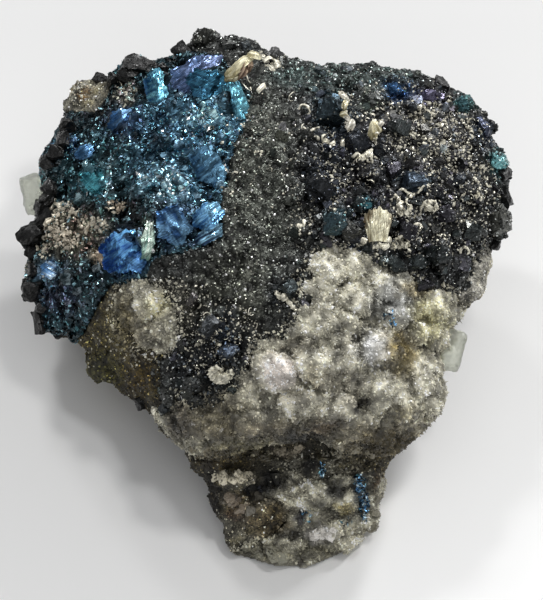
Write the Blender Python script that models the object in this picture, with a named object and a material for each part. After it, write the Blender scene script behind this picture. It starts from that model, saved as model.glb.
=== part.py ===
"""A covellite specimen: a chunk of rock that carries blue covellite plates, a dark sulphide crust with
blocky crystals, quartz druse and curls of native silver.

Places on the show side are given across and up a drawing plane that faces 55 degrees above level, which is
how the specimen shows best. Heights are measured from the surface that it rests on. All of them are in
millimetres until they are used.
"""

import math
import random

import bmesh
import bpy
import numpy as np
from mathutils import Matrix, Vector, noise
from mathutils.bvhtree import BVHTree

MM = 0.001

# The drawing plane of the show side
FACING_DEG = 55.0
UP_Y = math.sin(math.radians(FACING_DEG))
UP_Z = math.cos(math.radians(FACING_DEG))
ACROSS = Vector((1.0, 0.0, 0.0))
UP = Vector((0.0, UP_Y, UP_Z))
OUT = Vector((0.0, -UP_Z, UP_Y))

# How thick the crusts are, and the gaps that part the pieces
CRUST = 2.6
GAP = 0.36
SEAT_GAP = 0.55
DEPTH_STEP = 0.04

# The face is built of rings that shrink towards this height of the drawing plane
MIDDLE_UP = 8.0
FACE_SHARES = (1.0, 0.955, 0.86, 0.7, 0.5, 0.26)
EDGE_DROP = 5.0

# The face's unevenness: how far apart the swells are, and how high
SWELLS = ((9.0, 1.5), (3.5, 0.8))

# The back, from the rim: how far in, how far down, and its unevenness. It closes inside the foot.
BACK_STEPS = ((0.07, 0.3, 1.3), (0.22, 0.62, 1.6), (0.5, 0.9, 0.3))
BACK_SWELL = 6.0
UNDER = Vector((0.0, -8.0, 4.0))

# Flat stretches need few triangles: the share that is kept, and the shortest edge
KEPT_SHARE = 0.44
SHORTEST_EDGE = 0.002

# Farther than any point of the specimen, and deeper than any
FAR = 90.0
DEEP = -20.0

# The rim of the upper mass, clockwise: across, up, and how high the face stands there
RIM = (
    (-34.5, 33, 29), (-32, 36.5, 30), (-29, 37.5, 31), (-25.5, 38, 32), (-24.5, 39, 33), (-22, 39.5, 34),
    (-20, 39.5, 35), (-16.5, 41, 37), (-13, 42.5, 38), (-10, 43.5, 39), (-7.5, 43.5, 40), (-5, 44, 40),
    (-1.5, 42, 40), (3, 40, 40), (9, 39, 39), (17, 39.5, 38), (25, 38, 37), (30, 35.5, 36), (34, 33.5, 35),
    (37.5, 29.5, 33), (37, 27, 33), (40, 22.5, 31), (40, 17, 30), (39.5, 12.5, 29), (37.5, 9.5, 27),
    (37, 2.5, 24), (32.5, -2.5, 24), (31, -4.5, 24), (29.5, -8, 24), (28.5, -11.5, 24), (30, -14.5, 22),
    (29, -19, 21), (25, -23.5, 21), (22, -25.5, 21), (18.5, -25.5, 22), (13.5, -25, 24), (8.5, -21.5, 27),
    (1.5, -22.5, 27), (-6.5, -25, 25), (-13, -25.5, 22), (-18, -22, 20), (-20, -18.5, 20), (-23, -16.5, 18),
    (-27, -14, 16), (-30, -13.5, 15), (-30, -9, 18), (-34, -5.5, 18), (-38, -5, 17), (-39.5, 0, 18),
    (-41, 1.5, 18), (-40, 7, 20), (-40.5, 9.5, 20), (-39, 13.5, 22), (-38, 18, 23), (-38.5, 23.5, 24),
    (-36.5, 26.5, 26), (-34, 30.5, 28),
)

# How high the face stands inside the rim: across, up, height
SPOTS = (
    (0, 8, 41), (0, 25, 42), (0, 35, 41), (-12, 36, 38.5), (-20, 35, 36), (-28, 30, 32), (-12, 25, 41),
    (-22, 21, 38), (-30, 20, 32.5), (-35, 13, 27.5), (-12, 11, 40.5), (-23, 8, 36), (-32, 1, 25.5),
    (-18, 0, 34), (-23, -7, 27), (-28, -12, 18), (-8, -5, 36), (0, -10, 34), (-12, -15, 27),
    (-5, -20, 27), (5, -19, 29.5), (12, 0, 39), (10, -10, 35), (18, -7, 33), (22, -17, 26), (27, -15, 22),
    (27, -5, 27.5), (25, 6, 34), (33, 5, 28), (13, 13, 42), (13, 30, 41), (22, 25, 40), (30, 26, 36.5),
    (32, 16, 35), (37, 16, 31.5), (22, 35, 38.5), (8, 36, 39.5),
)

# The foot, from its front point towards the right: across, back, and its lean for each millimetre of height
FOOT = (
    (1, -55, 0, 1.0), (6.5, -55.5, 0, 1.0), (11.5, -53, 0.1, 0.9), (15, -50, 0.25, 0.75),
    (18, -44, 0.2, 0.4),
    (19, -34, 0.25, 0.1), (18, -22, 0.5, 0), (16, -10, 0.6, 0), (11, 0, 0.5, 0.5), (4, 4, 0, 0.7),
    (-5, 5, 0, 0.7), (-12, 0, -0.4, 0.6), (-14, -10, -0.6, 0), (-13, -22, -0.6, 0), (-10, -34, -0.5, 0.1),
    (-7.5, -46, -0.4, 0.35), (-4.5, -53, -0.3, 0.8),
)
FOOT_LEVELS = (0, 4, 8, 13, 18)
FOOT_UNEVEN = 1.4
FOOT_SWELL = 5.0

# Where each mineral covers the show side, as outlines across and up
COVELLITE_FIELD = (
    (-13.5, 41.5), (-8, 40.5), (-5, 36.5), (-3, 34.5), (-3.5, 29), (-5.5, 25.5), (-6.5, 19.5), (-8, 14.5),
    (-7.5, 9.5), (-11, 8), (-18.5, 6.5), (-20, 3.5), (-26.5, 2.5), (-29, -2.5), (-33, -9), (-45, -9),
    (-45, 27), (-38, 32), (-29, 31), (-26, 34.5), (-27, 44), (-15, 47),
)
SULPHIDE_FIELD = (
    (-13.5, 41.5), (-15, 47), (-12, 50), (46, 50), (47, 9), (35, 9), (33, 4), (31, 1), (27, 2), (21.5, 5),
    (17, 6), (12.5, 8.5), (8, 7.5), (7, 1.5), (5, -5.5), (-2.5, -8.5), (-4, -16), (-11.5, -18),
    (-15, -18.5), (-17.5, -16), (-17.5, -11), (-15, -8), (-14.5, -2), (-17.5, 1), (-20, 3.5),
    (-18.5, 6.5), (-11, 8), (-7.5, 9.5), (-8, 14.5), (-6.5, 19.5), (-5.5, 25.5), (-3.5, 29), (-3, 34.5),
    (-5, 36.5), (-8, 40.5),
)
QUARTZ_FIELD = (
    (8, 7.5), (12.5, 8.5), (17, 6), (21.5, 5), (27, 2), (31, 1), (33, -3.5), (38, -5), (38, -20),
    (26, -27), (13, -27), (8.5, -24.5), (1, -25), (-6, -27), (-13.5, -27), (-20, -24), (-20, -20),
    (-15, -18.5), (-11.5, -18), (-4, -16), (-2.5, -8.5), (5, -5.5), (7, 1.5),
)
LEFT_QUARTZ_FIELD = (
    (-20, 3.5), (-17.5, 1), (-14.5, -2), (-15, -8), (-18, -9), (-21.5, -6), (-25.5, -2), (-24.5, 2),
)
FOOT_QUARTZ_FIELD = (
    (-2, -32), (5, -30), (12.5, -29.5), (24, -30), (24, -38), (15, -48), (5, -52), (-9, -52), (-6.5, -43),
    (1, -40), (4, -36), (1, -33.5),
)
# Each crust: its field, and how far down it reaches at the specimen's sides
FIELDS = {
    "covellite_plates": (COVELLITE_FIELD, 13.0),
    "sulphide_crust": (SULPHIDE_FIELD, 21.5),
    "quartz_druse": (QUARTZ_FIELD, 17.0),
    "quartz_patch_left": (LEFT_QUARTZ_FIELD, 20.0),
    "quartz_druse_foot": (FOOT_QUARTZ_FIELD, GAP),
}

# Covellite blades: across, up, half width, and the way the flat face looks (across, up, out)
BLADES = (
    (-23.7, 7.7, 4.0, (-0.2, -0.3, 0.93)), (-9.7, 22.2, 3.3, (0.5, -0.2, 0.84)),
    (-10, 12.7, 3.2, (0.3, -0.5, 0.8)), (-5.6, 32.3, 3.2, (0.7, 0.1, 0.7)),
    (-8.7, 36, 3.4, (0.1, 0.2, 0.97)), (-12.5, 38, 4.0, (-0.1, 0.4, 0.9)),
    (-18.3, 35, 3.8, (-0.5, 0.1, 0.85)), (-19.7, 10, 2.6, (0.6, 0, 0.8)),
    (-20, 29.7, 3.0, (0.2, 0.3, 0.93)), (-14.2, 30.5, 3.2, (-0.3, 0.1, 0.95)),
    (-9.2, 29.7, 2.8, (0.3, 0.2, 0.93)), (-17.5, 24.7, 3.0, (0, -0.3, 0.95)),
    (-23.3, 23, 3.2, (-0.3, 0.2, 0.93)), (-20, 17.2, 3.0, (0.2, -0.2, 0.96)),
    (-15, 18, 2.8, (-0.4, 0.1, 0.9)), (-27.5, 19.7, 3.2, (-0.3, -0.1, 0.95)),
    (-32.5, 22.2, 2.8, (-0.5, 0.2, 0.84)), (-29, 26.3, 2.8, (-0.2, 0.4, 0.9)),
    (-33.5, 26.5, 2.2, (-0.4, 0.5, 0.77)), (-36.7, 5.5, 2.8, (-0.5, -0.3, 0.8)),
    (-32.5, 1.3, 2.8, (-0.3, -0.4, 0.87)), (-29, 5.5, 2.6, (0.1, -0.3, 0.95)),
    (-35, 12, 2.4, (-0.4, 0.1, 0.9)), (-26.7, 13.8, 2.6, (0.2, 0.1, 0.97)),
    (-24.2, 32.2, 2.6, (-0.2, 0.3, 0.93)), (-15, 11.7, 2.8, (0.2, -0.1, 0.97)),
)
BLADE_SIDES = 6
BLADE_THICKNESS = 0.9
BLADE_RISE = 0.7
BLADE_TURN_DEG = 37.0
BLADE_NARROW = 0.86

# Dark blocky crystals, some cubes and some five-sided: across, up, width
BLOCKS = (
    (10.7, 31, 4.6), (15.2, 26.5, 3.8), (17.7, 33.3, 3.0), (21.3, 28.8, 3.4), (8.7, 18.5, 4.6),
    (11.2, 13, 4.2), (24.5, 19.7, 4.2), (23.3, 10.5, 4.2), (27.5, 7.2, 4.4), (21.7, 35, 3.0), (27, 34, 3.0),
    (32.5, 32.5, 2.8), (36.3, 28.8, 3.0), (38, 23, 3.2), (38, 12.7, 3.8), (11.7, 23, 3.2),
    (16.7, 20.5, 3.4), (20.8, 22.2, 3.0),
    (15, 15.5, 3.0), (14.2, 10.3, 3.4), (28.3, 28, 3.2), (30.8, 23, 3.4), (33.3, 18, 3.4), (30, 14.7, 3.6),
    (34.5, 12.2, 3.4), (26.7, 24.7, 3.0), (12.5, 35.5, 3.0), (6.7, 26.3, 3.0), (5.8, 22.2, 2.8),
    (5, 16.3, 2.6), (6.5, 11, 2.8), (35, 24, 2.8), (24.2, 31.2, 2.8), (19, 13.5, 3.4), (3.7, 1.3, 2.8),
    (-9.7, -4.5, 2.8), (-11.7, -14, 3.2), (-6.3, -9, 2.6), (-12, -0.3, 2.4),
)

# Rounded lumps: across, up, half width
DARK_KNOBS_LEFT = ((-22.3, 39.6, 2.3), (-39.3, 10.3, 2.4), (-39.4, 2, 2.2))
DARK_KNOBS_TOP = ((-10.3, 43.4, 2.8), (-3.5, 42.2, 2.0), (2, 39.5, 1.8))
QUARTZ_LUMPS = (
    (1.7, -12, 3.4), (4.7, -17, 2.6), (10, 3, 3.4), (13.3, 5, 2.6), (12.5, -2, 3.6), (8.3, -3.7, 3.2),
    (11.7, -8.7, 3.4), (17.5, -8.7, 3.4), (6.7, -9.5, 3.2), (19.2, -0.3, 3.0), (22.5, 1.6, 2.6),
    (26.7, -1.8, 3.2), (27.5, -6, 3.0), (23.5, -6.5, 2.6), (25, -14.5, 3.2), (27, -18, 2.6), (22, -19, 3.0),
    (18.3, -16, 2.8), (12.5, -18.7, 3.2), (8.3, -15, 2.6), (14.2, -23, 2.6), (19.2, -22.8, 2.8),
    (-3.3, -20, 3.0), (-7.5, -22.5, 2.8), (-12, -22.5, 2.4), (0.5, -20.5, 2.4), (15, -13, 3.0),
)
LEFT_QUARTZ_LUMPS = ((-19.5, -1, 2.2), (-17.3, -5, 1.8), (-22.5, -0.5, 1.8))
FOOT_QUARTZ_LUMPS = (
    (2.5, -40.5, 2.8), (9.2, -38.2, 3.2), (14.2, -33.7, 3.0), (8.3, -32.5, 3.0), (12.5, -30, 2.4),
    (10.8, -41, 2.2), (16.5, -36.5, 2.0),
)
ROCK_LUMPS = (
    (-27.5, -12, 2.8), (-25, -5.3, 2.8), (-27.5, -8, 2.4), (-21.7, -11, 2.6), (-31, 34.5, 2.6),
    (35, 5.3, 2.4), (34.5, 1.8, 2.0), (-5.5, -30.3, 2.8), (-8, -27.5, 2.4), (-1.5, -35.7, 2.4),
    (-7.2, -36, 2.0),
)
LUMP_SUNK = 0.35
LUMP_RINGS = 5
LUMP_SIDES = 7

# Clear crystals at the two edges: across, up, how far out, size across, up and through, and turn in degrees
CLEAR_CRYSTALS = {
    "clear_crystal_right": (30.6, -8.6, 30.0, (4.0, 6.2, 4.6), -14.0),
    "clear_crystal_left": (-39.6, 17.6, 13.0, (3.2, 6.4, 4.4), 12.0),
}
CLEAR_BEVEL = 1.1

# Silver curls: across and up of the middle, width of the strip, thickness, and the path's points from there
SILVER = {
    "silver_ribbon": (
        -4.2, 38.9, 1.3, 0.45,
        ((-2.9, -2.6, 0.3), (-2.9, -0.4, 1.0), (-1.6, 1.9, 1.5), (0.6, 2.7, 1.7), (2.5, 2.7, 1.1),
         (2.2, 1.1, 1.0), (0.5, 0.2, 1.2), (-1.0, -1.6, 1.0), (-1.3, -3.2, 0.4)),
    ),
    "silver_fan": (
        18.4, 12.0, 4.2, 0.6,
        ((0.6, -3.0, 1.2), (-0.5, -2.7, 0.5), (-0.9, -1.5, 0.7), (-0.5, 0.2, 1.3), (0.3, 1.9, 2.2),
         (0.8, 2.9, 3.1)),
    ),
    "silver_chain": (
        13.3, 31.2, 1.0, 0.5,
        ((-0.9, 3.5, 0.6), (0.1, 2.6, 0.8), (-0.6, 1.4, 0.9), (0.5, 0.4, 1.0), (-0.2, -1.0, 0.9),
         (0.9, -1.9, 0.9), (0.2, -3.2, 0.5)),
    ),
    "silver_roll": (
        18.0, 28.2, 2.0, 0.5,
        ((-1.1, -1.5, 0.4), (-1.3, -0.1, 1.0), (-0.3, 1.1, 1.4), (0.9, 0.9, 1.2), (1.1, -0.4, 0.9),
         (0.4, -1.3, 0.6)),
    ),
    "silver_s_wire": (
        24.2, 18.1, 0.5, 0.5,
        ((-2.7, -0.9, 0.3), (-1.9, 0.2, 0.6), (-0.9, -0.3, 0.8), (0.2, -0.7, 0.8), (1.3, 0.1, 0.9),
         (2.0, 0.9, 0.8), (2.9, 0.6, 0.4)),
    ),
    "silver_ring_top": (
        6.1, 31.4, 0.5, 0.5,
        ((-0.9, 0.3, 0.3), (-0.5, 0.9, 0.5), (0.3, 0.9, 0.6), (0.9, 0.3, 0.6), (0.8, -0.5, 0.5),
         (0.0, -0.8, 0.3)),
    ),
    "silver_wire_top": (
        7.2, 28.2, 0.5, 0.45,
        ((-1.3, 0.4, 0.2), (-0.4, -0.2, 0.5), (0.6, 0.1, 0.6), (1.4, 0.4, 0.3)),
    ),
    "silver_loop_middle": (
        15.9, 23.3, 0.8, 0.45,
        ((-1.8, 0.2, 0.3), (-0.9, 0.8, 0.6), (-0.2, -0.1, 0.7), (0.5, 1.0, 0.8), (1.3, 0.6, 0.7),
         (1.5, -0.7, 0.3)),
    ),
    "silver_tangle_upper": (
        22.6, 15.7, 0.6, 0.5,
        ((-1.4, 1.6, 0.3), (-0.6, 0.4, 0.8), (-1.2, -0.9, 0.6), (0.2, -1.6, 0.7), (1.2, -0.6, 0.9),
         (0.6, 0.6, 0.9), (1.4, 1.5, 0.4)),
    ),
    "silver_tangle_lower": (
        22.4, 9.4, 0.6, 0.5,
        ((-1.1, -1.1, 0.3), (-1.0, 0.3, 0.7), (0.1, 1.1, 0.9), (1.0, 0.4, 0.8), (0.6, -0.8, 0.6),
         (1.3, -1.4, 0.3)),
    ),
    "silver_curl_right": (
        26.8, 15.4, 0.8, 0.45,
        ((-1.5, -0.7, 0.3), (-0.7, 0.5, 0.8), (0.5, 0.8, 1.0), (1.4, 0.0, 0.8), (0.8, -0.9, 0.4)),
    ),
    "silver_loop_right": (
        24.9, 11.9, 0.5, 0.45,
        ((-0.7, -0.4, 0.2), (-0.5, 0.4, 0.5), (0.3, 0.5, 0.6), (0.7, -0.1, 0.5), (0.2, -0.6, 0.3)),
    ),
    "silver_ring_edge": (
        32.9, 7.9, 0.5, 0.45,
        ((-0.6, -0.6, 0.2), (-0.7, 0.3, 0.5), (0.0, 0.8, 0.6), (0.7, 0.2, 0.5), (0.4, -0.6, 0.3)),
    ),
    "silver_pair": (
        3.0, -0.2, 0.8, 0.5,
        ((-1.9, 1.7, 0.3), (-0.9, 0.5, 0.8), (0.1, 0.8, 0.8), (0.7, -0.6, 0.7), (1.8, -1.6, 0.3)),
    ),
    "silver_cup": (
        -7.5, -12.3, 2.2, 0.6,
        ((-1.7, 1.0, 1.2), (-1.3, -0.4, 0.5), (-0.2, -0.9, 0.5), (1.0, -0.5, 0.8), (1.6, 0.6, 1.5)),
    ),
}
SILVER_STEPS = 4
WIDE_SILVER_STEPS = 2
WIDE = 2.0

# How far a curl is let down at a time, first fast and then finely
SEAT_STEPS = (1.5, 0.1)

# Each mineral's colour, roughness and metal

MINERALS = {
    "rock": ((0.13, 0.11, 0.055, 1.0), 0.9, 0.0),
    "covellite": ((0.045, 0.11, 0.21, 1.0), 0.3, 0.9),
    "sulphide": ((0.035, 0.038, 0.04, 1.0), 0.4, 0.8),
    "quartz": ((0.36, 0.35, 0.29, 1.0), 0.45, 0.0),
    "clear": ((0.42, 0.46, 0.38, 1.0), 0.15, 0.0),
    "silver": ((0.62, 0.58, 0.46, 1.0), 0.35, 1.0),
}


def clear_scene():
    for thing in list(bpy.data.objects):
        bpy.data.objects.remove(thing)


def make_material(name):
    """A finish with the mineral's own colour, roughness and metal."""
    colour, roughness, metal = MINERALS[name]
    material = bpy.data.materials.new(name)
    material.use_nodes = True
    shader = material.node_tree.nodes["Principled BSDF"]
    shader.inputs["Base Color"].default_value = colour
    shader.inputs["Roughness"].default_value = roughness
    shader.inputs["Metallic"].default_value = metal
    material.diffuse_color = colour
    return material


def place(across, up, out):
    """A point of the drawing plane, out from it by so much, in the specimen's own frame and in metres."""
    return (across * ACROSS + up * UP + out * OUT) * MM


def out_of_height(up, height):
    """How far out of the drawing plane a point lies that is seen at this place and stands this high."""
    return (height - up * UP_Z) / UP_Y


def thin_out(thing, share):
    """Keeps a share of the triangles, where the shape needs them most."""
    modifier = thing.modifiers.new("thin out", "DECIMATE")
    modifier.ratio = share
    bm = bmesh.new()
    bm.from_object(thing, bpy.context.evaluated_depsgraph_get())
    bmesh.ops.dissolve_degenerate(bm, edges=bm.edges, dist=SHORTEST_EDGE * MM)
    bmesh.ops.triangulate(bm, faces=bm.faces)
    thing.modifiers.clear()
    bm.to_mesh(thing.data)
    bm.free()


def make_object(name, bm):
    """Turns a bmesh into an object of flat triangles, with its faces outward."""
    bmesh.ops.recalc_face_normals(bm, faces=bm.faces)
    bmesh.ops.triangulate(bm, faces=bm.faces)
    mesh = bpy.data.meshes.new(name)
    bm.to_mesh(mesh)
    bm.free()
    thing = bpy.data.objects.new(name, mesh)
    bpy.context.scene.collection.objects.link(thing)
    return thing


def copy_of(thing, name, shift=None):
    """A copy that may be moved by a vector in metres."""
    double = bpy.data.objects.new(name, thing.data.copy())
    bpy.context.scene.collection.objects.link(double)
    if shift is not None:
        double.data.transform(Matrix.Translation(shift))
    return double


def combine(thing, operation, other, own_overlaps=False, solver="EXACT"):
    """Joins, cuts or trims one object with another, which is used up."""
    modifier = thing.modifiers.new("combine", "BOOLEAN")
    modifier.operation = operation
    modifier.object = other
    modifier.solver = solver
    if own_overlaps:
        modifier.use_self = True
    graph = bpy.context.evaluated_depsgraph_get()
    bm = bmesh.new()
    bm.from_object(thing, graph)
    bmesh.ops.triangulate(bm, faces=bm.faces)
    thing.modifiers.clear()
    bm.to_mesh(thing.data)
    bm.free()
    bpy.data.objects.remove(other)


def keep_largest_body(thing):
    """Drops crumbs that a trim has cut loose."""
    bm = bmesh.new()
    bm.from_mesh(thing.data)
    left = set(bm.verts)
    bodies = []
    while left:
        body = {left.pop()}
        front = list(body)
        while front:
            vert = front.pop()
            for edge in vert.link_edges:
                other = edge.other_vert(vert)
                if other in left:
                    left.remove(other)
                    body.add(other)
                    front.append(other)
        bodies.append(body)
    bodies.sort(key=len)
    crumbs = [vert for body in bodies[:-1] for vert in body]
    bmesh.ops.delete(bm, geom=crumbs, context="VERTS")
    bm.to_mesh(thing.data)
    bm.free()


def surface_fit(points):
    """A smooth sheet through points of across, up and height, as a function of across and up."""
    places = np.array([point[:2] for point in points], float)
    heights = np.array([point[2] for point in points], float)

    def bend(distance):
        safe = np.maximum(distance, 1e-9)
        return safe * safe * np.log(safe)

    count = len(places)
    between = np.linalg.norm(places[:, None] - places[None, :], axis=2)
    plane = np.hstack([np.ones((count, 1)), places])
    system = np.zeros((count + 3, count + 3))
    system[:count, :count] = bend(between)
    system[:count, count:] = plane
    system[count:, :count] = plane.T
    weights = np.linalg.solve(system, np.concatenate([heights, np.zeros(3)]))

    def height_at(across, up):
        away = np.linalg.norm(places - np.array([across, up]), axis=1)
        return float(bend(away) @ weights[:count] + weights[count:] @ np.array([1.0, across, up]))

    return height_at


def jitter(point, scale, size):
    """A rock-like unevenness in millimetres, the same for the same place."""
    return size * noise.noise(Vector(point) / (scale * MM))


def ring_shape(share):
    """The rim drawn in towards the middle. Its notches fade as it shrinks."""
    keep = max(0.0, (share - 0.8) / 0.2)
    count = len(RIM)
    shape = []
    for i, (across, up, _) in enumerate(RIM):
        near = [RIM[(i + step) % count] for step in (-3, -2, -1, 0, 1, 2, 3)]
        smooth_across = sum(point[0] for point in near) / len(near)
        smooth_up = sum(point[1] for point in near) / len(near)
        across = keep * across + (1 - keep) * smooth_across
        up = keep * up + (1 - keep) * smooth_up
        shape.append((share * across, share * (up - MIDDLE_UP) + MIDDLE_UP))
    return shape


def make_upper_mass():
    """The heart-shaped mass: a face inside the rim, and a rough back that narrows underneath."""
    height_at = surface_fit(RIM + SPOTS)
    bm = bmesh.new()
    rings = []
    for share in FACE_SHARES:
        ring = []
        drop = EDGE_DROP * (1 - math.sqrt(1 - share ** 6))
        for across, up in ring_shape(share):
            out = out_of_height(up, height_at(across, up)) - drop
            if share < 1.0:
                out += sum(jitter(place(across, up, out), apart, high) for apart, high in SWELLS)
            ring.append(bm.verts.new(place(across, up, out)))
        rings.append(ring)
    under = UNDER * MM
    rim = rings[0]
    for inward, down, uneven in BACK_STEPS:
        ring = []
        for vert in rim:
            spot = vert.co.lerp(under, inward)
            spot.z = vert.co.z + down * (under.z - vert.co.z)
            spot.x += jitter(spot, BACK_SWELL, uneven) * MM
            spot.y += jitter(spot.yzx, BACK_SWELL, uneven) * MM
            spot.z += jitter(spot.zxy, BACK_SWELL, uneven) * MM
            ring.append(bm.verts.new(spot))
        rings.insert(0, ring)
    for lower, upper in zip(rings, rings[1:]):
        bridge(bm, lower, upper)
    fan(bm, rings[0], under)
    fan(bm, rings[-1], place(0.0, MIDDLE_UP, out_of_height(MIDDLE_UP, height_at(0.0, MIDDLE_UP))))
    return make_object("upper_mass", bm)


def bridge(bm, lower, upper):
    """Faces between two rings of the same number of points."""
    for i, vert in enumerate(lower):
        after = (i + 1) % len(lower)
        bm.faces.new((vert, lower[after], upper[after], upper[i]))


def fan(bm, ring, point):
    """Closes a ring with faces that meet at a point."""
    tip = bm.verts.new(point)
    for i, vert in enumerate(ring):
        bm.faces.new((vert, ring[(i + 1) % len(ring)], tip))


def make_foot():
    """The narrow foot and the keel behind it, cut off flat underneath."""
    bm = bmesh.new()
    rings = []
    for level in FOOT_LEVELS:
        ring = []
        for across, back, lean_across, lean_back in FOOT:
            spot = Vector((across + lean_across * level, back + lean_back * level, level))
            spot *= MM
            if level > 0:
                spot.x += jitter(spot, FOOT_SWELL, FOOT_UNEVEN) * MM
                spot.y += jitter(spot.yzx, FOOT_SWELL, FOOT_UNEVEN) * MM
            ring.append(bm.verts.new(spot))
        rings.append(ring)
    for lower, upper in zip(rings, rings[1:]):
        bridge(bm, lower, upper)
    bm.faces.new(rings[0])
    bm.faces.new(rings[-1])
    return make_object("foot", bm)


def offset_outline(outline, distance):
    """The outline moved outward by a distance, or inward where it is negative."""
    area = sum(a[0] * b[1] - b[0] * a[1] for a, b in zip(outline, outline[1:] + outline[:1]))
    sign = 1.0 if area > 0 else -1.0
    moved = []
    for i, (across, up) in enumerate(outline):
        before = Vector(outline[i - 1])
        here = Vector((across, up))
        after = Vector(outline[(i + 1) % len(outline)])
        first = (here - before).normalized()
        second = (after - here).normalized()
        side = Vector((first.y + second.y, -first.x - second.x)) * sign
        side.normalize()
        turn = max(0.5, side.dot(Vector((first.y, -first.x)) * sign))
        moved.append(here + side * (distance / turn))
    return moved


def field_prism(outline, distance):
    """A tall prism over a mineral's field, square to the drawing plane."""
    bm = bmesh.new()
    floor = [bm.verts.new(place(across, up, DEEP)) for across, up in offset_outline(outline, distance)]
    base = bm.faces.new(floor)
    raised = bmesh.ops.extrude_face_region(bm, geom=[base])
    tops = [item for item in raised["geom"] if isinstance(item, bmesh.types.BMVert)]
    bmesh.ops.translate(bm, vec=OUT * FAR * MM, verts=tops)
    return make_object("field", bm)


def surface_point(tree, across, up):
    """Where the show side lies at a place of the drawing plane, and the way it looks there.

    Past the rim it is the same distance out as the nearest point inside the rim.
    """
    start = Vector((across, up))
    middle = Vector((0.0, MIDDLE_UP))
    share = 1.0
    hit = None
    while hit is None:
        near = middle.lerp(start, share)
        hit, normal, _, _ = tree.ray_cast(place(near.x, near.y, FAR), -OUT)
        share -= 0.01
    return hit + ((start.x - near.x) * ACROSS + (start.y - near.y) * UP) * MM, normal


def tree_of(thing):
    graph = bpy.context.evaluated_depsgraph_get()
    return BVHTree.FromObject(thing, graph)


def add_blades(bm, tree, blades):
    """Six-sided plates, each sunk into what carries it."""
    for number, (across, up, half, look) in enumerate(blades):
        spot, _ = surface_point(tree, across, up)
        facing = (look[0] * ACROSS + look[1] * UP + look[2] * OUT).normalized()
        turn = facing.to_track_quat("Z", "Y").to_matrix().to_4x4()
        spin = Matrix.Rotation(math.radians(BLADE_TURN_DEG * number), 4, "Z")
        where = Matrix.Translation(spot + OUT * BLADE_RISE * MM) @ turn @ spin
        made = bmesh.ops.create_cone(
            bm, cap_ends=True, segments=BLADE_SIDES, radius1=half * MM, radius2=0.94 * half * MM,
            depth=BLADE_THICKNESS * MM,
        )
        narrow = Matrix.Diagonal((1.0, BLADE_NARROW, 1.0, 1.0))
        bmesh.ops.transform(bm, matrix=where @ narrow, verts=made["verts"])


def add_blocks(bm, tree, blocks, chance):
    """Blocky crystals with flat faces, turned every way and half sunk."""
    for across, up, width in blocks:
        spot, normal = surface_point(tree, across, up)
        turn = Matrix.Rotation(chance.uniform(0, math.tau), 4, Vector((chance.uniform(-1, 1), 1, 0.6)))
        where = Matrix.Translation(spot + normal * 0.12 * width * MM) @ turn
        if chance.random() < 0.5:
            made = bmesh.ops.create_cube(bm, size=0.82 * width * MM)
        else:
            made = bmesh.ops.create_cone(
                bm, cap_ends=True, segments=5, radius1=0.5 * width * MM, radius2=0.36 * width * MM,
                depth=0.8 * width * MM,
            )
        bmesh.ops.transform(bm, matrix=where, verts=made["verts"])


def add_lumps(bm, tree, lumps, chance):
    """Rounded masses of small crystals."""
    for across, up, half in lumps:
        spot, normal = surface_point(tree, across, up)
        made = bmesh.ops.create_uvsphere(
            bm, u_segments=LUMP_SIDES, v_segments=LUMP_RINGS, radius=half * MM,
        )
        squash = Matrix.Diagonal((1.0, chance.uniform(0.8, 1.0), chance.uniform(0.75, 0.95), 1.0))
        turn = Matrix.Rotation(chance.uniform(0, math.tau), 4, Vector((0.3, 0.4, 1)))
        where = Matrix.Translation(spot - normal * LUMP_SUNK * half * MM) @ turn @ squash
        bmesh.ops.transform(bm, matrix=where, verts=made["verts"])
        for vert in made["verts"]:
            vert.co += (vert.co - spot).normalized() * jitter(vert.co, 1.6, 0.35) * MM


def room_depth(name):
    """How far below the face a crust's room goes. Neighbours differ a little, so that no walls coincide."""
    return CRUST + SEAT_GAP + DEPTH_STEP * list(FIELDS).index(name)


def make_crust(name, form, crystals):
    """A crust over one field: the face of a form with its crystals, as thick as the crust is."""
    field, lowest = FIELDS[name]
    crust = copy_of(form, name)
    combine(crust, "UNION", crystals, own_overlaps=True)
    combine(crust, "INTERSECT", field_prism(field, -0.5 * GAP))
    combine(crust, "DIFFERENCE", below_floor(lowest))
    for depth in (CRUST, room_depth(name)):
        combine(crust, "DIFFERENCE", copy_of(form, "under", -OUT * depth * MM))
    keep_largest_body(crust)
    return crust


def make_room(whole, name):
    """The space that a crust takes in the rock, with a gap all round it."""
    field, lowest = FIELDS[name]
    room = field_prism(field, 0.5 * GAP)
    under = copy_of(whole, "under", -OUT * room_depth(name) * MM)
    combine(room, "DIFFERENCE", under, solver="MANIFOLD")
    combine(room, "DIFFERENCE", below_floor(lowest - 2 * GAP), solver="MANIFOLD")
    return room


def below_floor(height):
    """Everything under a height in millimetres."""
    bm = bmesh.new()
    made = bmesh.ops.create_cube(bm, size=2 * FAR * MM)
    bmesh.ops.translate(bm, vec=Vector((0.0, 0.0, (height - FAR) * MM)), verts=made["verts"])
    return make_object("below", bm)


def crystals_on(tree, blades=(), blocks=(), lumps=(), seed=1):
    chance = random.Random(seed)
    bm = bmesh.new()
    add_blades(bm, tree, blades)
    add_blocks(bm, tree, blocks, chance)
    add_lumps(bm, tree, lumps, chance)
    return make_object("crystals", bm)


def grown(thing, distance):
    """A copy that is larger all round, to cut clearance with."""
    bm = bmesh.new()
    bm.from_mesh(thing.data)
    bm.normal_update()
    moved = [vert.co + vert.normal * distance * MM for vert in bm.verts]
    for vert, spot in zip(bm.verts, moved):
        vert.co = spot
    return make_object("grown", bm)


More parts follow.
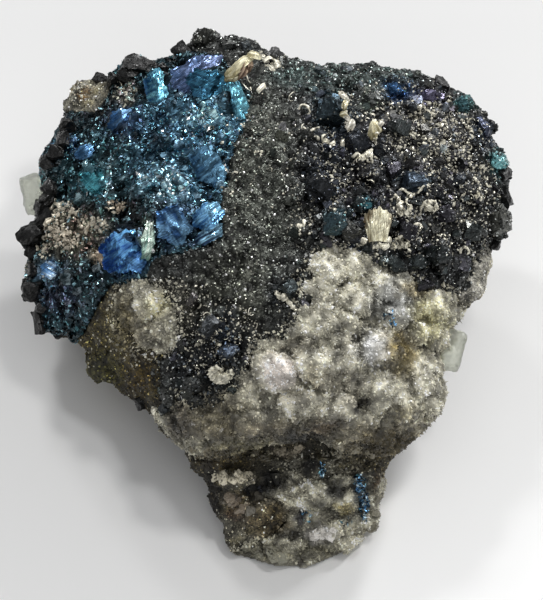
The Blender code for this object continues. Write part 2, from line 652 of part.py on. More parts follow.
def make_clear_crystal(name, whole):
    """A clear block at the edge, parted from the rock by a gap."""
    across, up, out, size, turn = CLEAR_CRYSTALS[name]
    bm = bmesh.new()
    made = bmesh.ops.create_cube(bm, size=1.0)
    bmesh.ops.scale(bm, vec=Vector(size) * MM, verts=made["verts"])
    bmesh.ops.bevel(
        bm, geom=bm.verts[:], offset=CLEAR_BEVEL * MM, affect="VERTICES", segments=1, profile=0.5,
        material=-1,
    )
    lie = Matrix((ACROSS, UP, OUT)).transposed().to_4x4()
    turned = Matrix.Rotation(math.radians(turn), 4, "Z") @ Matrix.Rotation(math.radians(turn), 4, "X")
    where = Matrix.Translation(place(across, up, out)) @ lie @ turned
    bmesh.ops.transform(bm, matrix=where, verts=bm.verts)
    crystal = make_object(name, bm)
    combine(crystal, "DIFFERENCE", grown(whole, GAP))
    keep_largest_body(crystal)
    return crystal


def smooth_path(points, steps):
    """Points along a smooth curve that passes through the given ones."""
    points = [Vector(point) for point in points]
    path = []
    for i in range(len(points) - 1):
        before = points[max(i - 1, 0)]
        here = points[i]
        after = points[i + 1]
        beyond = points[min(i + 2, len(points) - 1)]
        for step in range(steps):
            t = step / steps
            path.append(0.5 * (
                2 * here + (after - before) * t
                + (2 * before - 5 * here + 4 * after - beyond) * t * t
                + (3 * here - before - 3 * after + beyond) * t * t * t
            ))
    path.append(points[-1])
    return path


def make_silver(name, trees):
    """A curl of silver: a strip swept along its path, then let down until it almost touches."""
    across, up, width, thickness, points = SILVER[name]
    path = smooth_path(points, SILVER_STEPS if width < WIDE else WIDE_SILVER_STEPS)
    bm = bmesh.new()
    rings = []
    for i, point in enumerate(path):
        ahead = (path[min(i + 1, len(path) - 1)] - path[max(i - 1, 0)]).normalized()
        side = ahead.cross(Vector((0.0, 0.0, 1.0))).normalized()
        lift = side.cross(ahead).normalized()
        taper = 0.55 + 0.45 * math.sin(math.pi * min(1.0, (i + 0.8) / len(path) * 1.1))
        half = 0.5 * width * taper
        ring = []
        for across_share, lift_share in ((-1, -0.5), (1, -0.5), (0.8, 0.5), (-0.8, 0.5)):
            local = point + side * across_share * half + lift * lift_share * thickness
            ring.append(bm.verts.new(place(across + local.x, up + local.y, local.z)))
        rings.append(ring)
    for lower, upper in zip(rings, rings[1:]):
        bridge(bm, lower, upper)
    bm.faces.new(rings[0])
    bm.faces.new(rings[-1])
    curl = make_object(name, bm)
    seat(curl, trees)
    return curl


def clears(piece, trees):
    """Whether a piece keeps its gap to the surfaces under it."""
    points = [vert.co for vert in piece.data.vertices]
    own = BVHTree.FromPolygons(points, [tuple(face.vertices) for face in piece.data.polygons])
    for tree in trees:
        if own.overlap(tree):
            return False
        for point in points:
            if tree.find_nearest(point, GAP * MM)[0] is not None:
                return False
    return True


def seat(piece, trees):
    """Lets a piece down, square to the drawing plane, until it just clears what lies under it."""
    piece.data.transform(Matrix.Translation(OUT * FAR * MM))
    for step in SEAT_STEPS:
        while clears(piece, trees):
            piece.data.transform(Matrix.Translation(-OUT * step * MM))
        piece.data.transform(Matrix.Translation(OUT * step * MM))


def stand_on_origin(things):
    """Moves all pieces together, so that the middle of the underside is the origin."""
    corners = [vert.co for thing in things for vert in thing.data.vertices]
    middle = Vector([0.5 * (min(co[k] for co in corners) + max(co[k] for co in corners)) for k in range(3)])
    middle.z = 0.0
    for thing in things:
        thing.data.transform(Matrix.Translation(-middle))


def finish(thing, material):
    """Gives a piece its material and its sharp edges."""
    thing.data.materials.clear()
    thing.data.materials.append(material)
    thing.data.shade_smooth()
    thing.data.set_sharp_from_angle(angle=math.radians(25))


def main():
    clear_scene()
    materials = {name: make_material(name) for name in MINERALS}
    upper_mass = make_upper_mass()
    whole = copy_of(upper_mass, "whole")
    combine(whole, "UNION", make_foot())
    tree = tree_of(whole)
    crystals = {
        "covellite_plates": crystals_on(tree, blades=BLADES, lumps=DARK_KNOBS_LEFT, seed=3),
        "sulphide_crust": crystals_on(tree, blocks=BLOCKS, lumps=DARK_KNOBS_TOP, seed=5),
        "quartz_druse": crystals_on(tree, lumps=QUARTZ_LUMPS, seed=7),
        "quartz_patch_left": crystals_on(tree, lumps=LEFT_QUARTZ_LUMPS, seed=9),
        "quartz_druse_foot": crystals_on(tree, lumps=FOOT_QUARTZ_LUMPS, seed=11),
    }
    crusts = {}
    for name in FIELDS:
        form = whole if name == "quartz_druse_foot" else upper_mass
        crusts[name] = make_crust(name, form, crystals[name])
    clear = [make_clear_crystal(name, whole) for name in CLEAR_CRYSTALS]

    rock = copy_of(whole, "rock")
    combine(rock, "UNION", crystals_on(tree, lumps=ROCK_LUMPS, seed=13), own_overlaps=True)
    for name in FIELDS:
        combine(rock, "DIFFERENCE", make_room(whole, name), solver="MANIFOLD")
    combine(rock, "DIFFERENCE", below_floor(0.0))
    keep_largest_body(rock)
    for spare in (upper_mass, whole):
        bpy.data.objects.remove(spare)

    grounds = [rock, *crusts.values()]
    for thing in grounds:
        thin_out(thing, KEPT_SHARE)
    trees = [tree_of(thing) for thing in grounds]
    curls = [make_silver(name, trees) for name in SILVER]
    stand_on_origin(grounds + clear + curls)

    finish(rock, materials["rock"])
    for name, crust in crusts.items():
        finish(crust, materials[name.split("_")[0]])
    for thing in clear:
        finish(thing, materials["clear"])
    for thing in curls:
        finish(thing, materials["silver"])


main()
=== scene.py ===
# %% [markdown]
# # A covellite specimen
# The specimen is a chunk of rock with four things grown on it: blue covellite plates, a dark crust of
# sulphide crystals, grey-white quartz druse and curls of native silver. Its solids come as a fixed frame, with
# plain crusts in the right places. This lesson gives each of them its grain, its crystals and its finish.

import math

import bmesh
import bpy
import numpy as np
from mathutils import Matrix, Vector, noise
from mathutils.bvhtree import BVHTree


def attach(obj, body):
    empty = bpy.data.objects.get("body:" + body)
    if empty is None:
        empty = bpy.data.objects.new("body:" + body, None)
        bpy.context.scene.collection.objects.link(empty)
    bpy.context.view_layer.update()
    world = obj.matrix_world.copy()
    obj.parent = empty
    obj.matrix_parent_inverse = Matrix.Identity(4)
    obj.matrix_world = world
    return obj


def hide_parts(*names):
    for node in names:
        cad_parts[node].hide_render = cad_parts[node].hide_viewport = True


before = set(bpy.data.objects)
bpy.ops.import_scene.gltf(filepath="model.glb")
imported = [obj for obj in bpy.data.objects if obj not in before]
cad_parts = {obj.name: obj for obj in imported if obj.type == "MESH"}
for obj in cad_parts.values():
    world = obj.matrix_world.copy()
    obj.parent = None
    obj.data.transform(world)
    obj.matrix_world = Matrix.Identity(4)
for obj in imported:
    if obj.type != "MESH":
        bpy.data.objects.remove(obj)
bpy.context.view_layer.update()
print("solids:", len(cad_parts))

# %% [markdown]
# ## Places that can be measured in the photograph
# The camera looks 55 degrees down through a long lens, so the picture is almost a plain drawing of the thing:
# six pixels to the millimetre on a plane that faces the camera. A point has a place across and up that plane
# and a distance out of it. Two small helpers turn one into the other, so that a blue plate can be put where
# the picture shows it and still sit on the surface that carries it.

# %% The drawing plane
MM = 0.001
PX_PER_MM = 6.0
MIDDLE_PX = (270.0, 298.0)
LOOK_DOWN_DEG = 55.0
PLANE_MIDDLE = np.array([0.6712, 12.5036, 0.0])
TILT_SIN = math.sin(math.radians(LOOK_DOWN_DEG))
TILT_COS = math.cos(math.radians(LOOK_DOWN_DEG))
ACROSS = np.array([1.0, 0.0, 0.0])
UP = np.array([0.0, TILT_SIN, TILT_COS])
OUT = np.array([0.0, -TILT_COS, TILT_SIN])


def seen_at(points):
    """The pixels where points in millimetres show."""
    away = points - PLANE_MIDDLE
    return MIDDLE_PX[0] + PX_PER_MM * away @ ACROSS, MIDDLE_PX[1] - PX_PER_MM * away @ UP


def plane_point(px, py, out):
    """The point in millimetres that shows at a pixel, so far out of the drawing plane."""
    across = (px - MIDDLE_PX[0]) / PX_PER_MM
    up = (MIDDLE_PX[1] - py) / PX_PER_MM
    return PLANE_MIDDLE + across * ACROSS + up * UP + out * OUT


def way_at(degrees):
    """A direction in the drawing plane, turned up so far from straight across."""
    return math.cos(math.radians(degrees)) * ACROSS + math.sin(math.radians(degrees)) * UP


print("the foot's middle shows at pixel", [round(float(v)) for v in seen_at(np.zeros(3))])

# %% [markdown]
# ## Fine skins
# The solids have a few thousand flat faces, which is right for weight and collision and far too coarse for a
# druse. A voxel remesh gives each one an even skin with faces under half a millimetre. The skin is then let
# out along its own normals by noise: swells, rounded heads or ledges, as the mineral has them. Bump in a
# material could fake this, but not at the outline, and not in the mesh.

# %% Helpers for skins
WELD_MM = 0.004
HEAD_REACH = 0.72
LEDGES_FLATTER = (1.0, 1.0, 1.6)


def linked(name, data):
    """A new object in the scene, for a mesh, a camera or a lamp."""
    thing = bpy.data.objects.new(name, data)
    bpy.context.scene.collection.objects.link(thing)
    return thing


def object_from(bm, name):
    """An object in the scene from a bmesh, which is freed."""
    mesh = bpy.data.meshes.new(name)
    bm.to_mesh(mesh)
    bm.free()
    return linked(name, mesh)


def welded(node, name):
    """A copy of a solid of the frame, its loose triangles joined at their corners."""
    bm = bmesh.new()
    bm.from_mesh(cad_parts[node].data)
    bmesh.ops.remove_doubles(bm, verts=bm.verts, dist=WELD_MM * MM)
    return object_from(bm, name)


def shaped_by(thing, kind, **settings):
    """Lets a modifier work on the thing, and keeps what it makes as the thing's mesh."""
    modifier = thing.modifiers.new(kind, kind)
    for name, value in settings.items():
        setattr(modifier, name, value)
    graph = bpy.context.evaluated_depsgraph_get()
    thing.data = bpy.data.meshes.new_from_object(thing.evaluated_get(graph))
    thing.modifiers.clear()


def fine_skin(node, name, voxel):
    """An even, closed skin over a solid of the frame, with faces of about this many millimetres."""
    skin = welded(node, name)
    shaped_by(skin, "REMESH", mode="VOXEL", voxel_size=voxel * MM)
    skin.data.materials.clear()
    return skin


def rows_of(values, name):
    """Three numbers for each point of a mesh."""
    flat = np.empty(3 * len(values), np.float32)
    values.foreach_get(name, flat)
    return flat.reshape(-1, 3).astype(float)


def points_of(thing):
    """The thing's points, in millimetres."""
    return rows_of(thing.data.vertices, "co") / MM


def normals_of(thing):
    return rows_of(thing.data.vertex_normals, "vector")


def let_out(thing, heights):
    """Moves each point out along its normal by so many millimetres."""
    moved = points_of(thing) + normals_of(thing) * heights[:, None]
    thing.data.vertices.foreach_set("co", (moved * MM).astype(np.float32).ravel())
    thing.data.update()


def swells(points, apart, octaves=1, shift=0.0):
    """Noise between about -1 and 1, with swells so many millimetres apart."""
    return np.array([noise.fractal(Vector(p), 0.9, 2.0, octaves) for p in points / apart + shift])


def heads(points, apart, shift=0.0):
    """Rounded heads so many millimetres apart: 1 in the middle of each, 0 in the seams."""
    nearest = np.array([noise.voronoi(Vector(p))[0][0] for p in points / apart + shift])
    return np.clip(1.0 - (nearest / HEAD_REACH) ** 2, 0.0, 1.0)


def crests(points, apart, shift=0.0):
    """Sharp crests between smooth hollows, like folds in foil: 1 on a crest, -1 in a hollow."""
    return 1.0 - 4.0 * np.abs(swells(points, apart, 1, shift))


def ledges(points, apart, steps, shift):
    """Steps that end in sharp edges: how far they stand off an even slope."""
    slope = steps * swells(points * LEDGES_FLATTER, apart, 2, shift)
    edge = np.clip(3.0 * (slope - np.floor(slope)) - 1.0, 0.0, 1.0)
    return np.floor(slope) + edge - slope


def relief(points, level, layers):
    """Heights in millimetres: a level and layers over it. Each: height, form, and what the form is told."""
    heights = np.full(len(points), level)
    for height, form, *told in layers:
        heights += height * form(points, *told)
    return heights


# %% [markdown]
# ## Colours that change over the face
# Every mineral has its own base colour, and the picture shows patches on it: a royal blue plate, a very white
# spot in the quartz, ochre in the rock. Each is an ellipse with soft, ragged edges. The colour is stored on
# the points as an attribute called tint, which the materials read, so that it holds on the mesh whichever way
# the specimen is turned.

# %% Helpers for colour
RAGGED_PX = 7.0
RAGGED_MM = 2.2
RAGGED_SHIFTS = (3.1, 7.7)


def linear(colour):
    """A colour as a screen shows it, 0 to 255, as the light that it stands for."""
    share = np.asarray(colour, float) / 255.0
    return np.where(share < 0.04045, share / 12.92, ((share + 0.055) / 1.055) ** 2.4)


def ragged(points):
    """The pixels where points show, pushed about a little, so that patches get ragged edges."""
    pushes = [RAGGED_PX * swells(points, RAGGED_MM, 2, shift) for shift in RAGGED_SHIFTS]
    return [at + push for at, push in zip(seen_at(points), pushes)]


def out_of(px, py, x, y, half_width, half_height):
    """0 in the middle of an ellipse of pixels, 1 on its edge and more outside it."""
    return ((px - x) / half_width) ** 2 + ((py - y) / half_height) ** 2


def soft_ellipse(px, py, *ellipse):
    """1 in an ellipse of pixels, fading to 0 around it."""
    return np.exp(-out_of(px, py, *ellipse) ** 2)


def painted(points, base, patches):
    """Colours for points: a base, and soft patches that are ellipses of pixels with a colour and a strength."""
    px, py = ragged(points)
    colours = np.tile(linear(base), (len(points), 1))
    for *ellipse, colour, strength in patches:
        weight = strength * soft_ellipse(px, py, *ellipse)
        colours += weight[:, None] * (linear(colour) - colours)
    return colours


def domed(points, domes):
    """Heights of lumps that meet in creases. Each: pixel x, y, half width, half height, millimetres."""
    px, py = ragged(points)
    heights = np.zeros(len(points))
    for *ellipse, height in domes:
        dome = height * np.sqrt(np.clip(1.0 - out_of(px, py, *ellipse), 0.0, 1.0))
        heights = np.where(np.abs(dome) > np.abs(heights), dome, heights)
    return heights


def where_it_swells(points, apart, octaves, shift, steep, less):
    """1 where the noise is high and 0 where it is low, with soft edges."""
    return np.clip(steep * swells(points, apart, octaves, shift) - less, 0.0, 1.0)[:, None]


def set_tint(thing, colours):
    """Stores a colour on each point."""
    colours = np.clip(colours, 0.0, 1.0)
    filled = np.hstack([colours, np.ones((len(colours), 1))]).astype(np.float32)
    tint = thing.data.attributes.new("tint", "FLOAT_COLOR", "POINT")
    tint.data.foreach_set("color", filled.ravel())


# %% [markdown]
# ## Small crystals, thousands of them
# A druse sparkles because each tiny crystal has flat faces that look their own way. Particles or instances
# would be lost in the export. Particles and instances are not used: each sort of crystal is made once with a
# few bmesh steps, and its copies are written into one joined mesh. Every copy is sunk into the skin at its
# foot, and has only 6 to 60 triangles.

# %% Small shapes
CRYSTAL_CUTS = 8
CUT_DEPTHS = (0.36, 0.5)
CREASES_APART = (4.0, 14.0)
FINE_ROUGHNESS = 0.4
WIRE_CORNERS = 4
CURL_RADIUS = 0.45


def small_shape(build):
    """The corners and triangles of a small shape that a function builds in a bmesh."""
    bm = bmesh.new()
    build(bm)
    bmesh.ops.recalc_face_normals(bm, faces=bm.faces)
    bmesh.ops.triangulate(bm, faces=bm.faces)
    bm.verts.index_update()
    corners = np.array([vert.co for vert in bm.verts], float)
    faces = np.array([[vert.index for vert in face.verts] for face in bm.faces], int)
    bm.free()
    return corners, faces


def double_pyramid(sides):
    """Gives the steps for a double pyramid: four sides for a grain, six for quartz."""
    def build(bm):
        bmesh.ops.create_uvsphere(bm, u_segments=sides, v_segments=2, radius=0.5)
    return build


def build_spike(bm):
    """A slim four-sided point."""
    bmesh.ops.create_cone(bm, cap_ends=True, segments=4, radius1=0.5, radius2=0.0, depth=1.0)


def build_nugget(bm):
    """A crumpled ball."""
    bmesh.ops.create_icosphere(bm, subdivisions=1, radius=0.5)
    for vert in bm.verts:
        vert.co *= 1.0 + 0.5 * noise.noise(vert.co * 9.0)


def close_holes(bm, sides=0):
    bmesh.ops.holes_fill(bm, edges=[edge for edge in bm.edges if edge.is_boundary], sides=sides)


def cut_crystal(number, roughness=0.0):
    """Gives the steps for a crystal: a cube cut by planes that face all ways, and roughened if wanted."""
    def build(bm):
        turns = np.random.default_rng(number)
        bmesh.ops.create_cube(bm, size=1.0)
        for cut in turns.normal(size=(CRYSTAL_CUTS, 3)):
            plane = Vector(cut).normalized()
            bmesh.ops.bisect_plane(
                bm, geom=bm.verts[:] + bm.edges[:] + bm.faces[:], plane_co=plane * turns.uniform(*CUT_DEPTHS),
                plane_no=plane, clear_outer=True,
            )
            close_holes(bm)
        if roughness:
            bmesh.ops.triangulate(bm, faces=bm.faces)
            bmesh.ops.subdivide_edges(bm, edges=bm.edges, cuts=3, use_grid_fill=True)
            wide, fine = CREASES_APART
            for vert in bm.verts:
                vert.co += roughness * noise.noise_vector(vert.co * wide + Vector((number, 0.0, 0.0)))
                vert.co += FINE_ROUGHNESS * roughness * noise.noise_vector(vert.co * fine)
    return build


def curl_of(thickness, width, turn_deg, steps, inward, tilt_deg):
    """Gives the steps for a ribbon or wire that winds inwards as it turns."""
    def build(bm):
        bmesh.ops.create_circle(bm, cap_ends=False, segments=WIRE_CORNERS, radius=0.5)
        bmesh.ops.scale(bm, vec=(thickness, width, 1.0), verts=bm.verts)
        bmesh.ops.rotate(bm, matrix=Matrix.Rotation(math.radians(90), 3, "X"), verts=bm.verts)
        bmesh.ops.translate(bm, vec=(CURL_RADIUS, 0.0, 0.0), verts=bm.verts)
        bmesh.ops.spin(
            bm, geom=bm.verts[:] + bm.edges[:], cent=(0, 0, 0), axis=(0, 0, 1), dvec=(0, 0, 0.02),
            angle=math.radians(turn_deg), steps=steps, use_merge=False, use_duplicate=False,
        )
        close_holes(bm, WIRE_CORNERS)
        for number, vert in enumerate(bm.verts):
            wound = 1.0 - inward * (number // WIRE_CORNERS) / steps
            vert.co.x *= wound
            vert.co.y *= wound
            vert.co *= 1.0 + 0.2 * noise.noise(vert.co * 3.0)
        bmesh.ops.rotate(bm, matrix=Matrix.Rotation(math.radians(tilt_deg), 3, "X"), verts=bm.verts)
    return build


GRAIN = small_shape(double_pyramid(4))
GEM = small_shape(double_pyramid(6))
SPIKE = small_shape(build_spike)
NUGGET = small_shape(build_nugget)
CRYSTALS = [small_shape(cut_crystal(number)) for number in range(5)]
# Each curl: thickness, width, turn in degrees, steps, how far it winds inwards, and tilt in degrees
CURLS = [small_shape(curl_of(*sizes)) for sizes in (
    (0.12, 0.12, 200, 6, 0.4, 60), (0.08, 0.3, 240, 7, 0.5, 60), (0.1, 0.4, 120, 4, 0.2, 60),
)]
LARGE_CURLS = [small_shape(curl_of(*sizes)) for sizes in (
    (0.07, 0.07, 250, 20, 0.45, 60), (0.06, 0.3, 260, 20, 0.55, 60), (0.07, 0.42, 150, 16, 0.25, 60),
)]
small = (GRAIN, GEM, SPIKE, NUGGET, *CRYSTALS, *CURLS)
print("triangles of the small shapes:", [len(faces) for _, faces in small])


# %% Helpers to strew them
FORM_SPREAD = (0.7, 1.2)
CAST_FROM_MM = 90.0
NEAR_RIM_MM = 30.0
PAST_RIM_SHARE = 0.7


def places_on(thing, count, chance, wanted):
    """Random places on a skin, even by area, kept with the likeliness that a function gives for each."""
    thing.data.calc_loop_triangles()
    flat = np.empty(3 * len(thing.data.loop_triangles), np.int32)
    thing.data.loop_triangles.foreach_get("vertices", flat)
    corners = points_of(thing)[flat.reshape(-1, 3)]
    square = np.cross(corners[:, 1] - corners[:, 0], corners[:, 2] - corners[:, 0])
    area = np.linalg.norm(square, axis=1)
    pick = chance.choice(len(area), size=count, p=area / area.sum())
    a, b = chance.random((2, count))
    fold = a + b > 1
    a[fold] = 1 - a[fold]
    b[fold] = 1 - b[fold]
    c = corners[pick]
    points = c[:, 0] + a[:, None] * (c[:, 1] - c[:, 0]) + b[:, None] * (c[:, 2] - c[:, 0])
    normals = square[pick] / np.maximum(area[pick], 1e-12)[:, None]
    keep = chance.random(count) < wanted(points, normals)
    return points[keep], normals[keep]


def unit(vectors):
    return vectors / np.maximum(np.linalg.norm(vectors, axis=1), 1e-9)[:, None]


def leaning(normals, lean, chance):
    """Directions that lean away from the normals at random."""
    return unit(normals + lean * chance.normal(size=normals.shape))


def random_sizes(count, widths, chance, form=FORM_SPREAD):
    """Width, depth and height for so many crystals: a width between two, made uneven."""
    return chance.uniform(*widths, (count, 1)) * chance.uniform(*form, (count, 3))


def mostly_small(count, least, more, power, chance):
    """Widths of which most are near the least, and few are large."""
    return least + more * chance.random((count, 1)) ** power


def random_light(count, middle, spread, chance):
    """Factors that make crystals darker and lighter. A middle of 0 is 1."""
    return np.exp(chance.normal(middle, spread, (count, 1)))


def joined_copies(name, shape, points, facing, sizes, colours, chance, toward=None):
    """One mesh with a copy of the shape at each point. Sizes are width, depth and height in millimetres."""
    corners, faces = shape
    count = len(points)
    spun = chance.normal(size=(count, 3)) if toward is None else toward
    side = unit(spun - (spun * facing).sum(axis=1)[:, None] * facing)
    local = corners[None, :, :] * sizes[:, None, :]
    placed = points[:, None, :]
    for axis, way in enumerate((side, np.cross(facing, side), facing)):
        placed = placed + local[:, :, axis, None] * way[:, None, :]
    starts = np.arange(count)[:, None, None] * len(corners)
    triangles = (faces[None] + starts).reshape(-1, 3)
    mesh = bpy.data.meshes.new(name)
    mesh.from_pydata((placed.reshape(-1, 3) * MM).tolist(), [], triangles.tolist())
    copies = linked(name, mesh)
    set_tint(copies, np.repeat(colours, len(corners), axis=0))
    return copies


def own_crystal(number, roughness, spot, look, sides, tint, chance):
    """One roughened crystal with a cut of its own."""
    shape = small_shape(cut_crystal(number, roughness))
    return joined_copies("crystal", shape, spot[None, :], look, sides, tint, chance)


def tree_of(*things):
    """A search tree over the faces of skins, to find the surface at a pixel."""
    points = []
    faces = []
    for thing in things:
        start = len(points)
        points += [tuple(point) for point in points_of(thing)]
        faces += [tuple(start + corner for corner in face.vertices) for face in thing.data.polygons]
    return BVHTree.FromPolygons(points, faces)


def seat_on(tree, px, py):
    """Where the surface lies at a pixel, and the way that it faces. Nothing past the rim."""
    spot, normal, _, _ = tree.ray_cast(Vector(plane_point(px, py, CAST_FROM_MM)), Vector(-OUT))
    return None if spot is None else (np.array(spot), np.array(normal))


def seat_by_rim(tree, px, py):
    """As seat_on, but past the rim it gives a spot just outside the rim."""
    seat = seat_on(tree, px, py)
    if seat is None:
        near = NEAR_RIM_MM
        for _ in range(3):
            spot, normal, _, _ = tree.find_nearest(Vector(plane_point(px, py, near)))
            near = float((np.array(spot) - PLANE_MIDDLE) @ OUT)
        past = PAST_RIM_SHARE * plane_point(px, py, near)
        seat = (1.0 - PAST_RIM_SHARE) * np.array(spot) + past, np.array(normal)
    return seat


def strewn_in(tree, stretches, chance):
    """Spots and normals in ellipses. Each: pixel x, y, half width, half height, how many."""
    seats = []
    for x, y, half_width, half_height, count in stretches:
        for share, turn in chance.random((count, 2)):
            away = 1.1 * share ** 0.7
            across = away * math.cos(2.0 * math.pi * turn)
            down = away * math.sin(2.0 * math.pi * turn)
            seats.append(seat_on(tree, x + half_width * across, y + half_height * down))
    seats = [seat for seat in seats if seat is not None]
    return np.array([spot for spot, _ in seats]), np.array([normal for _, normal in seats])


def uncovered(tree, spots, normals, start=0.4, reach=4.0):
    """The spots and normals that have nothing close above them."""
    bare = np.array([
        tree.ray_cast(Vector(spot + start * normal), Vector(normal), reach)[0] is None
        for spot, normal in zip(spots, normals)
    ])
    return spots[bare], normals[bare]


def facing_out(points, normals):
    return (normals @ OUT > -0.2).astype(float)


def merged(name, things):
    """One piece from several."""
    bm = bmesh.new()
    for thing in things:
        bm.from_mesh(thing.data)
        bpy.data.objects.remove(thing)
    return object_from(bm, name)


def dress(piece, slot, *nodes):
    """Gives a piece its finish, hangs it on the root, and hides the solids that it stands for."""
    piece.data.materials.clear()
    piece.data.materials.append(FINISHES[slot])
    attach(piece, "root")
    if nodes:
        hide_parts(*nodes)
    print(piece.name, "triangles:", sum(len(face.vertices) - 2 for face in piece.data.polygons))
    return piece


def crust_over(node, name, slot, layers, colours, voxel, level, kept, flat_under=-1.0):
    """A dressed skin over a crust, with its relief in front. It keeps the given share of its faces."""
    skin = fine_skin(node, name, voxel)
    points = points_of(skin)
    heights = relief(points, level, layers) * np.clip(2.0 * normals_of(skin) @ OUT + 0.8, 0.1, 1.0)
    heights[points[:, 2] < flat_under] = 0.0
    let_out(skin, heights)
    shaped_by(skin, "DECIMATE", ratio=kept)
    set_tint(skin, colours(points_of(skin)))
    return dress(skin, slot, node)


def strewn_grains(name, slot, spots, normals, widths, tints, chance, lean, lift=0.0):
    """A dressed piece of grains that lean away from the surface under them."""
    looks = leaning(normals, lean, chance)
    grains = joined_copies(name, GRAIN, spots + lift * normals, looks, widths, tints, chance)
    return dress(grains, slot)


# %% [markdown]
# ## Finishes
# All of the minerals share one recipe: the tint on the points, made lighter and darker by a fine grain, a
# roughness that changes over the surface, and a bump smaller than the mesh can hold. What sets them apart is
# how metallic they are, how glossy, and how coarse the grain is. Covellite and the sulphides reflect like dark
# metal, quartz is glossy but not metallic, and the rock is dull; the clear crystals, with a finish of their own,
# let light in. Covellite has fine stripes: its grain is the same noise, drawn out along one way that runs up to
# the right over the face.

# %% A recipe for the minerals
STRIPE_WAY = Vector(way_at(35.0))
BUMP_STRENGTH = 0.6


def new_finish(name):
    """A material made of nodes, and its shader."""
    material = bpy.data.materials.new(name)
    material.use_nodes = True
    return material, material.node_tree.nodes["Principled BSDF"]


def set_inputs(material, node, inputs):
    """Sets inputs of a node, each to a value or to what comes out of another node."""
    for name, value in inputs.items():
        if isinstance(value, bpy.types.NodeSocket):
            material.node_tree.links.new(value, node.inputs[name])
        else:
            node.inputs[name].default_value = value


def add_node(material, kind, inputs, output=0, **settings):
    """Adds a shader node with its settings and inputs, and gives one of its outputs."""
    node = material.node_tree.nodes.new("ShaderNode" + kind)
    for name, value in settings.items():
        setattr(node, name, value)
    set_inputs(material, node, inputs)
    return node.outputs[output]


def spread_out(material, value, least, most, middle=(0.0, 1.0)):
    """A value brought from one range to another."""
    inputs = {"Value": value, "From Min": middle[0], "From Max": middle[1], "To Min": least, "To Max": most}
    return add_node(material, "MapRange", inputs)


def mineral_finish(name, metal, gloss, grain_mm, contrast, bump_mm, drawn_out=1.0):
    """A Principled finish on the tint. Gloss is the lowest and highest roughness."""
    material, shader = new_finish(name)
    along = add_node(material, "Mapping", {
        "Vector": add_node(material, "TexCoord", {}, "Object"), "Scale": (drawn_out, 1.0, 1.0),
        "Rotation": STRIPE_WAY.to_track_quat("X", "Z").to_euler(),
    }, vector_type="TEXTURE")
    tint = add_node(material, "Attribute", {}, "Color", attribute_name="tint")
    fine = 1.0 / (grain_mm * MM)
    grain = add_node(material, "TexNoise", {"Vector": along, "Scale": fine, "Detail": 4.0}, "Fac")
    wide = add_node(material, "TexNoise", {"Vector": along, "Scale": 0.25 * fine}, "Fac")
    light = spread_out(material, grain, 1.0 - contrast, 1.0 + contrast, (0.3, 0.7))
    bumps = {"Distance": bump_mm * MM, "Strength": BUMP_STRENGTH, "Height": grain}
    set_inputs(material, shader, {
        "Metallic": metal, "Roughness": spread_out(material, wide, *gloss, (0.35, 0.65)),
        "Base Color": add_node(material, "VectorMath", {"Vector": tint, "Scale": light}, operation="SCALE"),
        "Normal": add_node(material, "Bump", bumps),
    })
    return material


# Each, under its slot: name, how metallic, gloss, grain in millimetres, contrast, bump in millimetres, stripes
FINISHES = {
    "rock": mineral_finish("olive_rock", 0.0, (0.5, 0.9), 0.3, 0.9, 0.25),
    "sulphide": mineral_finish("dark_sulphide", 0.7, (0.16, 0.44), 0.22, 0.7, 0.1, 2.5),
    "covellite": mineral_finish("blue_covellite", 0.9, (0.14, 0.34), 0.16, 0.6, 0.02, 8.0),
    "quartz": mineral_finish("quartz_druse", 0.0, (0.24, 0.5), 0.3, 0.2, 0.06),
    "silver": mineral_finish("native_silver", 0.3, (0.16, 0.45), 0.2, 0.4, 0.05, 5.0),
}
print("finishes:", list(FINISHES))

# %% [markdown]
# ## The rock
# The matrix is bare at the left, at the right rim, on much of the foot and all over the back. It is an
# olive-brown, granular stone with ledges and pits. Its skin is moved by wide swells with sharp-edged ledges
# over them. The foot has a hollow, to which quartz lumps give a pale lip later on.

# %% The rock's skin
# Roof, hollow, lip, lobe, sandy patch, groove, crusts, white patch and dark strips of the neck and the foot
FOOT_PATCHES = (
    (312, 515, 80, 60, (206, 202, 182), 0.75), (232, 459, 36, 13, (84, 74, 46), 0.9),
    # The near-black patch at pixel 268, 482 is painted shade in the hollow
    (268, 482, 24, 20, (6, 7, 9), 0.98), (255, 490, 9, 7, (34, 40, 54), 0.8),
    (236, 477, 22, 6, (206, 198, 174), 0.95), (239, 501, 13, 9, (170, 156, 140), 0.9),
    (240, 513, 14, 6, (104, 78, 62), 0.7), (214, 500, 10, 44, (42, 38, 34), 0.85),
    (270, 519, 24, 18, (138, 122, 88), 0.95), (265, 553, 30, 10, (112, 108, 88), 0.8),
    # The black patch at pixel 291, 535 is a painted shadow in a groove
    (322, 552, 40, 9, (128, 124, 102), 0.7), (291, 535, 17, 5, (16, 16, 16), 0.92),
    (290, 449, 14, 6, (176, 166, 146), 0.85), (313, 467, 11, 13, (16, 17, 20), 0.95),
    (297, 466, 9, 10, (124, 122, 112), 0.8), (336, 490, 12, 10, (44, 46, 50), 0.85),
    (348, 507, 9, 7, (132, 120, 66), 0.8), (323, 533, 14, 8, (244, 240, 234), 0.95),
    (306, 514, 6, 10, (40, 42, 60), 0.85), (364, 496, 8, 25, (30, 44, 56), 0.9),
    (374, 452, 32, 24, (104, 96, 74), 0.9), (381, 480, 5, 12, (104, 82, 54), 0.8),
    (306, 563, 6, 6, (44, 32, 28), 0.9),
)
ROCK_BASE = (72, 67, 54)
